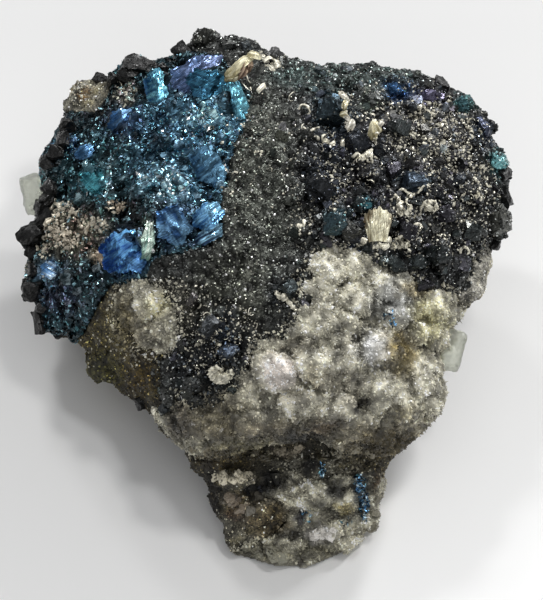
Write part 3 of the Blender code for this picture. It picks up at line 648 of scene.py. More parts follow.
ROCK_PATCHES = (
    (125, 350, 44, 52, (108, 98, 56), 0.95), (138, 368, 20, 34, (88, 70, 30), 0.7),
    (105, 372, 24, 18, (90, 88, 50), 0.9), (134, 318, 26, 38, (150, 142, 112), 0.75),
    (80, 90, 26, 26, (196, 192, 174), 0.95), (84, 90, 9, 8, (150, 112, 52), 0.9),
    (482, 268, 20, 42, (250, 246, 232), 0.97), (466, 322, 14, 20, (160, 154, 126), 0.7),
) + FOOT_PATCHES
ROCK_DOMES = (
    (268, 482, 26, 19, -2.4), (300, 447, 50, 12, -1.2), (238, 479, 24, 8, 1.8), (228, 456, 24, 12, 1.2),
    (262, 513, 24, 16, 1.2), (205, 462, 12, 14, 0.9), (222, 503, 14, 12, 1.1), (236, 538, 14, 14, 1.0),
    (250, 494, 10, 7, 1.0), (322, 462, 18, 12, 1.3), (350, 452, 16, 14, 1.2), (382, 446, 18, 16, 1.0),
    (300, 476, 14, 12, 1.1), (374, 478, 12, 16, 0.9), (112, 330, 22, 20, 0.7), (130, 362, 20, 22, 0.8),
    (100, 366, 16, 14, 0.9), (80, 90, 14, 14, 0.8), (484, 262, 12, 16, 0.8), (480, 290, 12, 12, 0.7),
)
# Each layer: height in millimetres, form, how far apart, octaves or steps, and shift of the noise
ROCK_RELIEF = ((0.35, swells, 7.0, 2, 2.0), (0.3, ledges, 4.5, 3.0, 2.0), (0.4, swells, 1.3, 3, 2.0))
ROCK_FLAT_UNDER_MM = 0.6
ROCK_DARKER = 0.55
ROCK_WARMER = np.array([1.12, 1.06, 0.8])
# Painted shade on the rock's skin, which shows between the grains: the light left on it, and how much less in
# front
ROCK_SKIN_SHADE = 0.8
ROCK_FRONT_SHADE = 0.35


def rock_colours(points):
    """Olive and brown over the rock, with dark and warm stretches."""
    colours = painted(points, ROCK_BASE, ROCK_PATCHES)
    dark = where_it_swells(points, apart=5.0, octaves=3, shift=11.0, steep=2.2, less=0.25)
    warm = where_it_swells(points, apart=3.0, octaves=2, shift=23.0, steep=1.8, less=0.1)
    colours = colours * (1.0 - ROCK_DARKER * dark)
    return colours * (1.0 - warm) + warm * colours * ROCK_WARMER


rock = fine_skin("rock", "bare_rock", voxel=0.5)
points = points_of(rock)
heights = relief(points, 0.0, ROCK_RELIEF) + domed(points, ROCK_DOMES) * (normals_of(rock) @ OUT > 0.1)
heights[points[:, 2] < ROCK_FLAT_UNDER_MM] = 0.0
let_out(rock, heights)
shaped_by(rock, "DECIMATE", ratio=0.5)
points = points_of(rock)
# Painted light and shade from the fine relief: darker in its pits and lighter on its bumps; then painted shade
# over the skin between the grains, most in front
pit_shade_and_bump_light = np.clip(0.9 + 1.4 * swells(points, 1.3, 3, 2.0), 0.15, 1.6)[:, None]
in_front = (normals_of(rock) @ OUT > 0.0)[:, None]
set_tint(rock, rock_colours(points) * pit_shade_and_bump_light * (ROCK_SKIN_SHADE - ROCK_FRONT_SHADE * in_front))
dress(rock, "rock", "rock")

# %% [markdown]
# ## The dark sulphide crust
# In the middle of the face the crust is an even, finely sparkling grey. To the right it turns to black, blocky
# crystals with blue and teal glints. The skin gets low swells and close-set heads, the blocks get crisp
# crystals of their own, and the whole is strewn with grains that face every way.

# %% The crust's skin
DARK_BASE = (84, 86, 84)
DARK_PATCHES = (
    (400, 160, 110, 100, (66, 67, 70), 0.9), (430, 132, 52, 44, (92, 92, 92), 0.7),
    (258, 180, 42, 100, (109, 113, 104), 0.8), (236, 290, 40, 40, (116, 118, 106), 0.7),
    (335, 110, 26, 24, (40, 56, 64), 0.8), (376, 98, 14, 14, (108, 116, 104), 0.8),
    (402, 88, 18, 12, (50, 90, 140), 0.9), (432, 94, 16, 9, (104, 100, 128), 0.7),
    (345, 74, 76, 14, (96, 110, 106), 0.75), (470, 98, 10, 12, (70, 116, 116), 0.8),
    (503, 161, 9, 13, (138, 196, 200), 0.9), (300, 74, 26, 14, (82, 98, 96), 0.7),
    (490, 130, 14, 14, (64, 76, 92), 0.7), (418, 180, 18, 12, (84, 98, 110), 0.7),
    (342, 214, 13, 10, (70, 104, 116), 0.7), (368, 202, 9, 6, (90, 150, 164), 0.8),
    (357, 254, 9, 9, (66, 100, 160), 0.8), (322, 178, 20, 26, (52, 58, 70), 0.7),
    (340, 140, 16, 14, (56, 66, 84), 0.6), (206, 360, 40, 36, (48, 52, 56), 0.9),
    (285, 290, 18, 14, (28, 34, 40), 0.9), (212, 325, 20, 16, (44, 46, 48), 0.8),
    (430, 262, 56, 26, (66, 68, 70), 0.7), (186, 312, 14, 28, (112, 110, 98), 0.7),
    (165, 286, 26, 10, (96, 94, 84), 0.7), (228, 330, 12, 30, (50, 66, 90), 0.5),
)
DARK_RELIEF = ((0.35, swells, 4.0, 2, 5.0), (0.45, heads, 1.9, 5.0), (0.22, heads, 0.8, 9.0))
# Painted shade: the light left in the seams between the heads, and on the skin between the grains
LIGHT_LEFT_IN_SEAM_SHADE = 0.12
DARK_SKIN_SHADE = 0.6


def dark_colours(points):
    return painted(points, DARK_BASE, DARK_PATCHES)


def seam_shaded_colours(points):
    """The painted colours with painted shade: almost black in the seams between the heads, and darker all over
    where the skin shows between the grains.
    """
    light = LIGHT_LEFT_IN_SEAM_SHADE + (1.0 - LIGHT_LEFT_IN_SEAM_SHADE) * heads(points, 1.9, 5.0)[:, None]
    return dark_colours(points) * light * DARK_SKIN_SHADE


crust = crust_over(
    "sulphide_crust", "dark_crust", "sulphide", DARK_RELIEF, seam_shaded_colours, voxel=0.36, level=0.35, kept=0.5)

# %% Blocky crystals
# Each: pixel of the middle, and width in millimetres
BIG_CRYSTALS = (
    (334, 112, 5.0), (361, 139, 4.4), (376, 98, 3.4), (399, 125, 3.8), (322, 187, 4.6), (337, 220, 4.0),
    (417, 180, 3.8), (410, 230, 3.8), (440, 255, 4.4), (400, 88, 2.6), (432, 94, 2.6), (465, 103, 3.0),
    (488, 125, 3.2), (500, 160, 3.0), (503, 222, 4.4), (318, 150, 3.0), (384, 152, 3.0), (395, 168, 2.8),
    (360, 205, 3.2), (352, 232, 3.6), (440, 160, 2.4), (460, 180, 3.0), (450, 212, 3.4), (477, 232, 3.6),
    (310, 132, 2.4), (303, 190, 2.4), (415, 104, 2.4), (425, 284, 3.4), (396, 262, 4.0), (201, 382, 3.6),
    (212, 325, 3.8), (232, 350, 2.8), (196, 300, 2.4), (293, 289, 3.0), (207, 34, 4.6), (172, 398, 2.6),
    (166, 410, 2.6), (465, 262, 3.4), (418, 262, 3.4), (374, 240, 2.6), (232, 44, 2.4), (250, 46, 2.2),
)
BIG_SHARE = 0.85
BIG_LEAN = 0.6
BIG_ROUGHNESS = 0.07
SMALL_CRYSTALS = 1050
SMALL_LEAN = 0.8
RIGHT_STARTS_PX = 310.0
RIGHT_FADES_PX = 14.0
LOW_BLOCKS = (205, 355, 46, 40)
RIM_SMALLER = 0.35
IRIDESCENT = np.array([
    (1.0, 1.0, 1.0), (0.9, 1.0, 1.14), (1.03, 0.96, 1.14), (0.9, 1.04, 1.04), (1.06, 1.04, 0.96),
])
crust_tree = tree_of(crust)
chance = np.random.default_rng(21)
crystals = []
for number, (px, py, width) in enumerate(BIG_CRYSTALS):
    spot, normal = seat_by_rim(crust_tree, px, py)
    tint = dark_colours(spot[None, :]) * chance.uniform(0.3, 1.0) * IRIDESCENT[number % len(IRIDESCENT)]
    sides = BIG_SHARE * width * chance.uniform(0.75, 1.2, (1, 3))
    look = leaning(normal[None, :], BIG_LEAN, chance)
    crystals.append(own_crystal(number, BIG_ROUGHNESS, spot, look, sides, tint, chance))


def blocky_stretch(points, normals):
    """Most of them at the right, and some in the dark hollows of the middle."""
    px, py = seen_at(points)
    right = 1.0 / (1.0 + np.exp(-(px - RIGHT_STARTS_PX) / RIGHT_FADES_PX))
    return (normals @ OUT > 0.0) * np.clip(right + 0.8 * soft_ellipse(px, py, *LOW_BLOCKS), 0.0, 1.0)


spots, normals = places_on(crust, SMALL_CRYSTALS * 3, chance, blocky_stretch)
spots = spots[:SMALL_CRYSTALS]
looks = leaning(normals[:SMALL_CRYSTALS], SMALL_LEAN, chance)
px, py = seen_at(spots)
near_rim = np.clip((px - 455.0) / 30.0, 0.0, 1.0) + np.clip((105.0 - py) / 20.0, 0.0, 1.0)
widths = mostly_small(len(spots), 0.5, 1.4, 2.6, chance) * chance.uniform(*FORM_SPREAD, (len(spots), 3))
widths *= 1.0 - RIM_SMALLER * np.clip(near_rim, 0.0, 1.0)[:, None]
tints = dark_colours(spots) * random_light(len(spots), -0.5, 0.9, chance)
tints *= IRIDESCENT[chance.integers(len(IRIDESCENT), size=len(spots))]
for number, shape in enumerate(CRYSTALS):
    some = slice(number, None, len(CRYSTALS))
    crystals.append(joined_copies("small", shape, spots[some], looks[some], widths[some], tints[some], chance))
dark_crystals = dress(merged("dark_crystals", crystals), "sulphide")

# %% Sparkling grains
DARK_GRAINS = 21000
CRYSTAL_GRAINS = 6500
DARK_GRAIN_WIDTHS = (0.2, 0.6)
BRIGHT_GRAIN = (236, 233, 220)
BRIGHT_SHARE = 0.075
# Each stretch with more bright grains: its share of them, pixel x, y, half width, half height
BRIGHTER = ((0.12, 400.0, 165.0, 110.0, 90.0), (0.1, 215.0, 340.0, 60.0, 50.0))
BRIGHT_SMALLER = 0.75
chance = np.random.default_rng(31)
on_crust = places_on(crust, DARK_GRAINS, chance, facing_out)
on_crystals = places_on(dark_crystals, CRYSTAL_GRAINS, chance, facing_out)
spots, normals = [np.vstack(pair) for pair in zip(on_crust, on_crystals)]
widths = random_sizes(len(spots), DARK_GRAIN_WIDTHS, chance)
tints = dark_colours(spots) * random_light(len(spots), 0.0, 1.3, chance)
likely = BRIGHT_SHARE + sum(more * soft_ellipse(*seen_at(spots), *ellipse) for more, *ellipse in BRIGHTER)
bright = chance.random(len(spots)) < likely
tints[bright] = linear(BRIGHT_GRAIN) * chance.uniform(0.6, 1.0, (bright.sum(), 1))
widths[bright] *= BRIGHT_SMALLER
strewn_grains("dark_grains", "sulphide", spots, normals, widths, tints, chance, lean=0.9)

# %% Lumps on the rim
# Each: pixel of the middle, width in millimetres, and how bright
RIM_LUMPS = (
    (135, 61, 4.4, 0.5), (127, 66, 2.6, 0.5), (101, 76, 2.2, 0.4), (115, 74, 2.6, 0.4), (61, 116, 2.4, 0.4),
    (57, 134, 2.6, 0.5), (30, 232, 4.2, 0.35), (30, 250, 2.6, 0.4), (25, 290, 3.2, 0.4), (40, 322, 3.4, 0.4),
    (32, 204, 2.4, 0.5), (38, 158, 2.6, 0.5), (48, 146, 2.4, 0.6), (63, 330, 2.6, 0.5), (162, 62, 2.4, 0.6),
    (181, 50, 3.0, 0.6), (278, 54, 2.2, 1.0), (446, 84, 2.4, 0.8), (28, 268, 2.4, 1.2), (508, 172, 2.4, 0.8),
    (509, 196, 2.8, 0.7), (498, 242, 2.4, 0.6), (145, 402, 2.2, 0.6), (36, 308, 2.6, 0.5),
    (43, 180, 2.8, 0.5), (41, 194, 2.4, 0.6), (40, 210, 2.6, 0.5),
)
RIM_GREY = (64, 64, 64)
RIM_ROUGHNESS = 0.09
rim_tree = tree_of(rock, crust)
chance = np.random.default_rng(35)
lumps = []
for number, (px, py, width, bright) in enumerate(RIM_LUMPS):
    spot, normal = seat_by_rim(rim_tree, px, py)
    sides = width * chance.uniform(0.8, 1.2, (1, 3))
    tint = bright * linear(RIM_GREY)[None, :]
    lumps.append(own_crystal(100 + number, RIM_ROUGHNESS, spot, normal[None, :], sides, tint, chance))
dress(merged("rim_lumps", lumps), "sulphide")

# %% [markdown]
# ## Blue covellite
# Covellite grows as thin plates. At the upper left they stand at all angles: a glittering field like crumpled
# foil, and fifteen larger sheets that are bent, striped and bright where they catch the light, with painted
# light that brightens each along its length and on its stripes. The small ones are strewn like the grains.
# Each large one is a grid that is drawn to a ragged outline, bent and rippled.

# %% The covellite's skin
BLUE_BASE = (50, 72, 80)
BLUE_PATCHES = (
    (190, 145, 54, 56, (104, 150, 180), 0.8), (160, 140, 22, 20, (44, 60, 70), 0.8),
    (205, 116, 24, 15, (150, 200, 224), 0.8), (166, 182, 26, 20, (160, 206, 226), 0.8),
    (158, 206, 14, 9, (180, 214, 228), 0.7), (125, 118, 20, 15, (92, 126, 168), 0.8),
    (85, 170, 44, 38, (60, 90, 98), 0.8), (68, 142, 12, 10, (80, 118, 160), 0.7),
    (86, 150, 9, 8, (90, 130, 170), 0.7), (95, 182, 14, 18, (70, 140, 156), 0.7),
    (112, 175, 5, 18, (170, 206, 216), 0.7), (176, 222, 24, 26, (92, 118, 148), 0.85),
    (128, 252, 24, 24, (88, 130, 180), 0.9), (52, 270, 14, 12, (150, 186, 220), 0.8),
    (80, 285, 40, 26, (56, 72, 78), 0.8), (60, 298, 20, 16, (72, 76, 104), 0.6),
    (150, 238, 8, 22, (160, 186, 170), 0.8), (75, 232, 38, 28, (120, 112, 96), 0.85),
    (104, 256, 10, 8, (176, 160, 136), 0.9), (126, 88, 13, 14, (128, 124, 114), 0.7),
    (100, 105, 30, 24, (50, 54, 58), 0.8), (60, 113, 8, 8, (24, 24, 26), 0.9),
    (140, 215, 22, 20, (60, 56, 54), 0.7), (30, 240, 14, 24, (30, 30, 32), 0.95),
    # The last patch is painted shade in the gap beside a raised blade
    (205, 165, 6, 24, (20, 30, 40), 0.9),
)
BLUE_RELIEF = ((0.35, swells, 4.5, 2, 15.0), (0.25, crests, 3.2, 17.0), (0.1, crests, 1.3, 19.0))
BLUE_LIGHT = 0.7


def blue_colours(points):
    return painted(points, BLUE_BASE, BLUE_PATCHES)


def fold_lit_colours(points):
    """The painted colours, with a painted highlight on the crests of the folds and painted shade between them.
    """
    folds = np.clip(0.6 + 0.6 * crests(points, 3.2, 17.0), 0.15, 1.3)[:, None]
    return blue_colours(points) * folds * BLUE_LIGHT


blue_crust = crust_over(
    "covellite_plates", "blue_crust", "covellite", BLUE_RELIEF, fold_lit_colours, voxel=0.34, level=0.35, kept=0.5)

# %% Large sheets
# Each: pixel of the middle, length, width, turn of the length, the way it faces, bend, and two colours, shaded
# and lit, for painted light
SHEETS = (
    (160, 87, 5.6, 7.2, 12, (-0.15, 0.2, 0.95), 100, (26, 72, 112), (150, 226, 244)),
    (198, 70, 9.8, 4.8, 32, (0.05, 0.25, 0.95), 30, (56, 76, 108), (128, 144, 184)),
    (214, 85, 8.4, 5.2, -22, (0.15, 0.1, 0.97), 24, (28, 60, 82), (66, 122, 148)),
    (239, 105, 5.2, 9.0, 20, (0.05, 0.15, 0.98), 110, (18, 52, 76), (132, 204, 224)),
    (211, 166, 4.8, 7.0, 34, (0.1, 0.0, 0.98), 30, (36, 66, 92), (104, 148, 176)),
    (211, 215, 5.8, 3.8, 38, (0.1, 0.1, 0.98), 80, (36, 78, 124), (140, 196, 230)),
    (212, 234, 5.6, 2.6, 30, (0.1, -0.05, 0.98), 60, (26, 44, 72), (150, 198, 226)),
    (125, 250, 8.4, 6.4, 28, (-0.1, 0.0, 1.0), 70, (24, 60, 124), (128, 196, 246)),
    (143, 262, 4.8, 3.2, -30, (0.1, -0.05, 0.98), 50, (30, 66, 122), (120, 176, 226)),
    (176, 225, 7.0, 5.4, -60, (0.0, 0.0, 1.0), 60, (34, 62, 98), (124, 170, 206)),
    (151, 240, 6.4, 2.0, 84, (0.1, -0.0, 0.98), 40, (120, 156, 146), (220, 234, 220)),
    (52, 269, 3.6, 2.6, -30, (-0.1, 0.0, 1.0), 70, (96, 146, 200), (210, 232, 246)),
    (124, 117, 5.4, 3.6, 30, (-0.1, 0.15, 0.97), 50, (44, 78, 118), (120, 160, 198)),
    (86, 150, 3.4, 2.2, 30, (-0.1, 0.1, 0.98), 50, (48, 82, 118), (100, 144, 184)),
    (95, 182, 4.4, 2.6, -50, (0.0, 0.0, 1.0), 50, (36, 84, 96), (86, 160, 172)),
)
SHEET_THICKNESS = 0.22
SHEET_LIFT = 0.95
SHEET_CUTS = (24, 18)
SHEET_REACH = 1.15
STRIPE_RISE = 0.06
CREASE_RISE = 0.14
# Each stretch of smaller leaves: pixel x, y, half width, half height, how many
LEAF_STRETCHES = (
    (190, 125, 46, 30, 18), (170, 185, 34, 26, 12), (85, 168, 40, 40, 14), (75, 285, 34, 26, 12),
    (215, 195, 14, 14, 3),
)
LEAF_CUTS = (8, 6)


def reach(angle, number):
    """How far a sheet reaches at an angle: straight sides between a few corners, with notches."""
    wedge = 2.0 * math.pi / (5 + number % 3)
    within = (angle + number) % wedge - 0.5 * wedge
    round_it = Vector((math.cos(angle), math.sin(angle), number))
    notches = 0.2 * noise.noise(2.0 * round_it) + 0.16 * noise.noise(7.0 * round_it)
    return math.cos(0.5 * wedge) / math.cos(within) * (1.0 + notches)


def thin_shell(name, bm, thickness, spot, axes, lit_shares, colours):
    """Gives a grid two faces, puts it in its place, and mixes a shaded and a lit colour on it, as painted light,
    by a share for each point.
    """
    bmesh.ops.solidify(bm, geom=bm.faces[:], thickness=thickness)
    bmesh.ops.recalc_face_normals(bm, faces=bm.faces)
    where = Matrix.Translation(Vector(spot)) @ Matrix(axes).transposed().to_4x4()
    bmesh.ops.transform(bm, matrix=Matrix.Scale(MM, 4) @ where, verts=bm.verts)
    shell = object_from(bm, name)
    share = np.resize(np.clip(np.array(lit_shares), 0.0, 1.0), len(shell.data.vertices))[:, None]
    set_tint(shell, colours[0] * (1.0 - share) + colours[1] * share)
    return shell


def bent_sheet(number, spot, length, width, turn, look, bend, colours, cuts):
    """A sheet of covellite: a grid drawn to a ragged outline, bent, and rippled along its length, with painted
    light that grows along it and on its stripes.
    """
    bm = bmesh.new()
    bmesh.ops.create_grid(bm, x_segments=cuts[0], y_segments=cuts[1], size=0.5)
    radius = length / math.radians(bend)
    lit_shares = []
    for vert in bm.verts:
        angle = math.atan2(vert.co.y, vert.co.x)
        ring = max(abs(vert.co.x), abs(vert.co.y)) * reach(angle, number) * SHEET_REACH
        along = ring * math.cos(angle) * length
        aside = ring * math.sin(angle) * width
        stripe = noise.noise(Vector((0.3 * along, 2.6 * aside, number)))
        stripe += 0.6 * noise.noise(Vector((0.4 * along, 6.0 * aside, number)))
        crease = 1.0 - 3.0 * abs(noise.noise(Vector((0.5 * along, 0.5 * aside, number + 7.0))))
        # Painted light: the lit colour's share grows along the sheet and on its stripes
        lit_shares.append(0.35 + 0.9 * along / length + 0.8 * stripe)
        rise = radius * (math.cos(along / radius) - 1.0) + STRIPE_RISE * stripe + CREASE_RISE * crease
        vert.co = (radius * math.sin(along / radius), aside, rise)
    facing = Vector(look[0] * ACROSS + look[1] * UP + look[2] * OUT).normalized()
    along_it = Vector(way_at(turn))
    along_it = (along_it - along_it.dot(facing) * facing).normalized()
    axes = (along_it, facing.cross(along_it), facing)
    return thin_shell("sheet", bm, SHEET_THICKNESS, spot, axes, lit_shares, colours)


blue_tree = tree_of(blue_crust)
sheets = []
for number, (px, py, length, width, turn, look, bend, *colours) in enumerate(SHEETS):
    spot = seat_on(blue_tree, px, py)[0] + SHEET_LIFT * OUT
    sheets.append(bent_sheet(number, spot, length, width, turn, look, bend, linear(colours), SHEET_CUTS))

chance = np.random.default_rng(47)
spots, _ = strewn_in(blue_tree, LEAF_STRETCHES, chance)
leaf_tints = blue_colours(spots) * chance.uniform(0.5, 1.3, (len(spots), 1))
for number, (spot, tint) in enumerate(zip(spots, leaf_tints)):
    length = 1.1 + 1.6 * chance.random() ** 2
    look = (*chance.normal(0.0, 0.3, 2), 1.0)
    # A shaded and a lit copy of the leaf's tint, for painted light
    colours = 0.6 * tint, np.clip(2.0 * tint + 0.12, 0.0, 0.9)
    sheets.append(bent_sheet(
        50 + number, spot + chance.uniform(0.1, 0.6) * OUT, length, chance.uniform(0.5, 0.8) * length,
        chance.normal(50.0, 40.0), look, chance.uniform(20.0, 100.0), colours, LEAF_CUTS,
    ))
dress(merged("blue_sheets", sheets), "covellite")

# %% [markdown]
# The field of foil between the large sheets is made of 24,000 small flakes. Neighbours lean the same way, so
# that the light runs over them in streaks, and their colours go from green to violet around the painted blue.

# %% Flakes
BLUE_FLAKES = 24000
FLAKE_FORM = np.array([1.3, 0.75, 0.1])
FLAKE_LEAN = 0.34
GREEN_TO_VIOLET = np.array([0.35, -0.3, -0.05])
# A painted glint: the pale blue of some flakes
GLINT_BLUE = (180, 230, 244)
LEFT_BARE = 0.08
# Neighbouring flakes lean the same way: how much, over how many millimetres, and the noise for each direction
LEAN_TOGETHER = 1.2
TOGETHER_MM = 2.2
TOGETHER_SHIFTS = (0.0, 40.0, 80.0)


def beside_the_sheets(points, normals):
    """Thick between the large sheets, and thin on top of them."""
    px, py = seen_at(points)
    wanted = facing_out(points, normals)
    for x, y, length, width, turn in [sheet[:5] for sheet in SHEETS]:
        way = math.radians(turn)
        along = ((px - x) * math.cos(way) - (py - y) * math.sin(way)) / (0.5 * PX_PER_MM * length)
        aside = ((px - x) * math.sin(way) + (py - y) * math.cos(way)) / (0.5 * PX_PER_MM * width)
        wanted[along ** 2 + aside ** 2 < 0.9] *= LEFT_BARE
    return wanted


chance = np.random.default_rng(41)
spots, normals = places_on(blue_crust, BLUE_FLAKES, chance, beside_the_sheets)
widths = mostly_small(len(spots), 0.24, 0.8, 2, chance) * FLAKE_FORM
widths *= chance.uniform(0.6, 1.1, (len(spots), 3))
tints = blue_colours(spots) * random_light(len(spots), 0.0, 1.0, chance)
tints *= 1.0 + (chance.random((len(spots), 1)) - 0.5) * GREEN_TO_VIOLET
# A fifth of the flakes get a painted glint, pale whitish blue
pale = chance.random(len(spots)) < 0.2
tints[pale] = 0.7 * tints[pale] + 0.45 * linear(GLINT_BLUE)
common = np.array([
    [noise.noise(Vector(spot) / TOGETHER_MM + Vector((shift, 0, 0))) for shift in TOGETHER_SHIFTS]
    for spot in spots
])
looks = leaning(unit(normals + LEAN_TOGETHER * common), FLAKE_LEAN, chance)
blue_flakes = joined_copies("blue_flakes", GRAIN, spots + 0.08 * normals, looks, widths, tints, chance)
dress(blue_flakes, "covellite")

# %% [markdown]
# ## Quartz druse
# The lower front is covered with quartz: rounded masses that meet in creases, each set with crystals well
# under a millimetre wide, with painted light on the masses and painted shade in the creases. The skin is domed
# where the picture shows a mass, gets smaller heads of two sizes between, and the crystals stand out of it,
# mostly square to the surface.

# %% The quartz skins and their crystals
QUARTZ_BASE = (206, 202, 184)
QUARTZ_PATCHES = (
    (380, 347, 22, 17, (252, 252, 250), 0.95), (280, 370, 19, 18, (238, 228, 220), 0.9),
    (298, 398, 16, 12, (238, 232, 212), 0.85), (398, 300, 26, 24, (168, 170, 170), 0.8),
    # The near-black patch at pixel 363, 402 is painted shade in a pit
    (363, 402, 7, 9, (26, 26, 26), 0.97), (402, 352, 18, 20, (158, 142, 92), 0.85),
    (432, 318, 20, 24, (218, 212, 172), 0.9), (418, 288, 20, 9, (150, 138, 104), 0.8),
    (260, 428, 80, 11, (130, 122, 104), 0.85), (215, 412, 40, 30, (106, 100, 82), 0.88),
    (182, 420, 16, 20, (96, 90, 80), 0.85), (345, 385, 24, 22, (180, 174, 158), 0.5),
    (330, 425, 20, 12, (104, 90, 72), 0.85), (305, 446, 44, 9, (56, 54, 48), 0.85),
    (398, 430, 48, 16, (126, 120, 102), 0.75), (160, 306, 15, 12, (214, 208, 172), 0.9),
    (300, 345, 14, 10, (170, 164, 148), 0.5), (140, 330, 22, 20, (160, 152, 130), 0.6),
    (126, 320, 12, 34, (122, 112, 78), 0.8), (240, 345, 12, 14, (130, 128, 122), 0.6),
    (315, 375, 10, 16, (160, 152, 130), 0.6), (394, 340, 12, 12, (128, 112, 62), 0.7),
    (388, 444, 44, 18, (92, 82, 60), 0.92), (303, 439, 22, 12, (36, 36, 38), 0.93),
    (335, 440, 11, 10, (146, 142, 128), 0.7), (404, 408, 14, 10, (120, 110, 76), 0.6),
    (246, 445, 44, 8, (122, 116, 88), 0.8),
) + FOOT_PATCHES
QUARTZ_DOMES = (
    (330, 265, 18, 16, 1.4), (354, 262, 15, 14, 1.2), (326, 296, 19, 17, 1.5), (358, 296, 20, 18, 1.5),
    (342, 328, 20, 16, 1.3), (305, 328, 19, 17, 1.3), (279, 370, 21, 19, 1.8), (298, 400, 20, 13, 1.4),
    (322, 366, 24, 20, 1.3), (352, 358, 18, 14, 1.1), (380, 347, 24, 15, 1.5), (334, 402, 22, 16, 1.4),
    (380, 388, 18, 20, 1.4), (404, 398, 17, 20, 1.3), (426, 396, 18, 20, 1.3), (428, 368, 17, 14, 1.2),
    (246, 392, 21, 18, 1.4), (204, 422, 24, 15, 1.4), (250, 424, 24, 12, 1.0), (392, 288, 19, 15, 1.1),
    (396, 318, 17, 15, 1.2), (434, 303, 14, 14, 1.6), (427, 330, 18, 12, 1.3), (452, 340, 12, 12, 0.9),
    (364, 425, 20, 14, 1.1), (270, 346, 14, 12, 0.9), (182, 404, 14, 12, 0.8), (290, 426, 20, 10, 0.9),
    (363, 402, 7, 9, -1.8), (312, 388, 8, 6, -0.8), (300, 498, 17, 13, 1.2), (336, 528, 17, 12, 1.3),
    (290, 546, 18, 12, 1.0), (354, 544, 14, 11, 1.1), (320, 494, 12, 10, 1.0), (345, 500, 12, 14, 0.8),
    (316, 554, 14, 9, 0.9), (150, 300, 18, 14, 1.0), (166, 322, 14, 14, 0.9), (136, 318, 14, 12, 0.8),
    (146, 338, 14, 10, 0.7), (372, 520, 10, 16, 0.9), (372, 488, 8, 12, -0.8),
)
QUARTZ_RELIEF = (
    (0.3, swells, 5.0, 2, 33.0), (1.2, domed, QUARTZ_DOMES), (0.3, heads, 2.4, 35.0),
    (0.55, swells, 1.7, 3, 37.0),
)
QUARTZ_UNEVEN = 0.95
# Painted light and shade: in the creases of the fine relief, and from the masses to the creases between them
QUARTZ_CREASE_SHADING = 0.95
QUARTZ_DOME_SHADING = 0.4
QUARTZ_LEVEL = 0.65
QUARTZ_SHADE = 0.6
QUARTZ_FLAT_UNDER_MM = 0.9
CRYSTALS_FROM_MM = 0.8
# Each: solid, piece, and how many places are tried for its crystals
QUARTZ_CRUSTS = (
    ("quartz_druse", "quartz_masses", 21000), ("quartz_druse_foot", "quartz_on_foot", 5200),
    ("quartz_patch_left", "quartz_at_left", 3200),
)
SLIM_SHARE = 0.7
SPIKE_SIZE = (0.27, 0.27, 0.62)
GEM_SIZE = (0.42, 0.42, 0.5)


def quartz_colours(points):
    """The painted colours, uneven all over, with painted light on the masses and painted shade in the creases.
    """
    stretches = QUARTZ_UNEVEN * swells(points, 2.8, 3, 43.0) + QUARTZ_CREASE_SHADING * swells(points, 1.7, 3, 37.0)
    stretches += QUARTZ_DOME_SHADING * (np.clip(domed(points, QUARTZ_DOMES), -1.0, 1.0) - QUARTZ_LEVEL)
    return painted(points, QUARTZ_BASE, QUARTZ_PATCHES) * np.exp(stretches)[:, None]


# The skin between the crystals gets painted shade
def quartz_skin_colours(points):
    return QUARTZ_SHADE * quartz_colours(points)


def quartz_crystals(name, spots, normals, chance):
    """Small crystals standing on the quartz, some of them bright, some dark."""
    tints = np.clip(quartz_colours(spots) * random_light(len(spots), -0.05, 0.34, chance), 0.0, 0.9)
    slim = chance.random(len(spots)) < SLIM_SHARE
    parts = []
    for shape, some, size, lean in ((SPIKE, slim, SPIKE_SIZE, 0.5), (GEM, ~slim, GEM_SIZE, 0.7)):
        widths = random_sizes(some.sum(), (0.6, 1.5), chance, (0.8, 1.2)) * np.array(size)
        looks = leaning(normals[some], lean, chance)
        feet = spots[some] + 0.2 * widths[:, 2:] * looks
        parts.append(joined_copies(name, shape, feet, looks, widths, tints[some], chance))
    dress(merged(name, parts), "quartz")


chance = np.random.default_rng(51)
quartz_skins = []
for node, name, count in QUARTZ_CRUSTS:
    mass = crust_over(
        node, name, "quartz", QUARTZ_RELIEF, quartz_skin_colours, voxel=0.36, level=0.1, kept=0.7,
        flat_under=QUARTZ_FLAT_UNDER_MM)
    quartz_skins.append(mass)
    spots, normals = places_on(mass, count, chance, facing_out)
    high = spots[:, 2] > CRYSTALS_FROM_MM
    quartz_crystals(name + "_crystals", spots[high], normals[high], chance)

# %% [markdown]
# ## Where the quartz ends
# No druse stops in a line. Lumps of it make the lip over the foot's hollow and stand alone on the neck, single
# crystals are strewn beyond its edge, and a fringe of crystals runs wherever two minerals meet.

# %% Pale lumps
# The lip over the foot's hollow, the lobe below it, and single lumps. Each: first and last pixel of a row, how
# many, width in millimetres, and colour
LUMP_ROWS = (
    ((219, 477), (250, 474), 7, 1.5, (236, 228, 206)), ((232, 495), (244, 506), 3, 1.9, (150, 138, 122)),
    ((282, 450), (300, 447), 4, 1.3, (184, 174, 154)), ((316, 536), (332, 530), 3, 1.8, (244, 240, 234)),
    ((262, 496), (254, 508), 2, 1.4, (112, 108, 98)), ((210, 448), (196, 446), 2, 1.6, (120, 112, 90)),
    ((342, 444), (372, 452), 3, 1.8, (128, 122, 104)), ((258, 452), (268, 456), 2, 1.4, (92, 86, 70)),
    ((250, 548), (286, 556), 4, 1.9, (150, 148, 132)), ((378, 500), (374, 526), 3, 1.6, (128, 124, 108)),
)
LUMP_FORM = np.array([1.25, 1.0, 0.8])
LUMP_ROUGHNESS = 0.12
LUMP_LEAN = 0.3
ROW_UNEVEN_PX = 1.4
druse_tree = tree_of(rock, crust, blue_crust, *quartz_skins)
chance = np.random.default_rng(53)
lumps = []
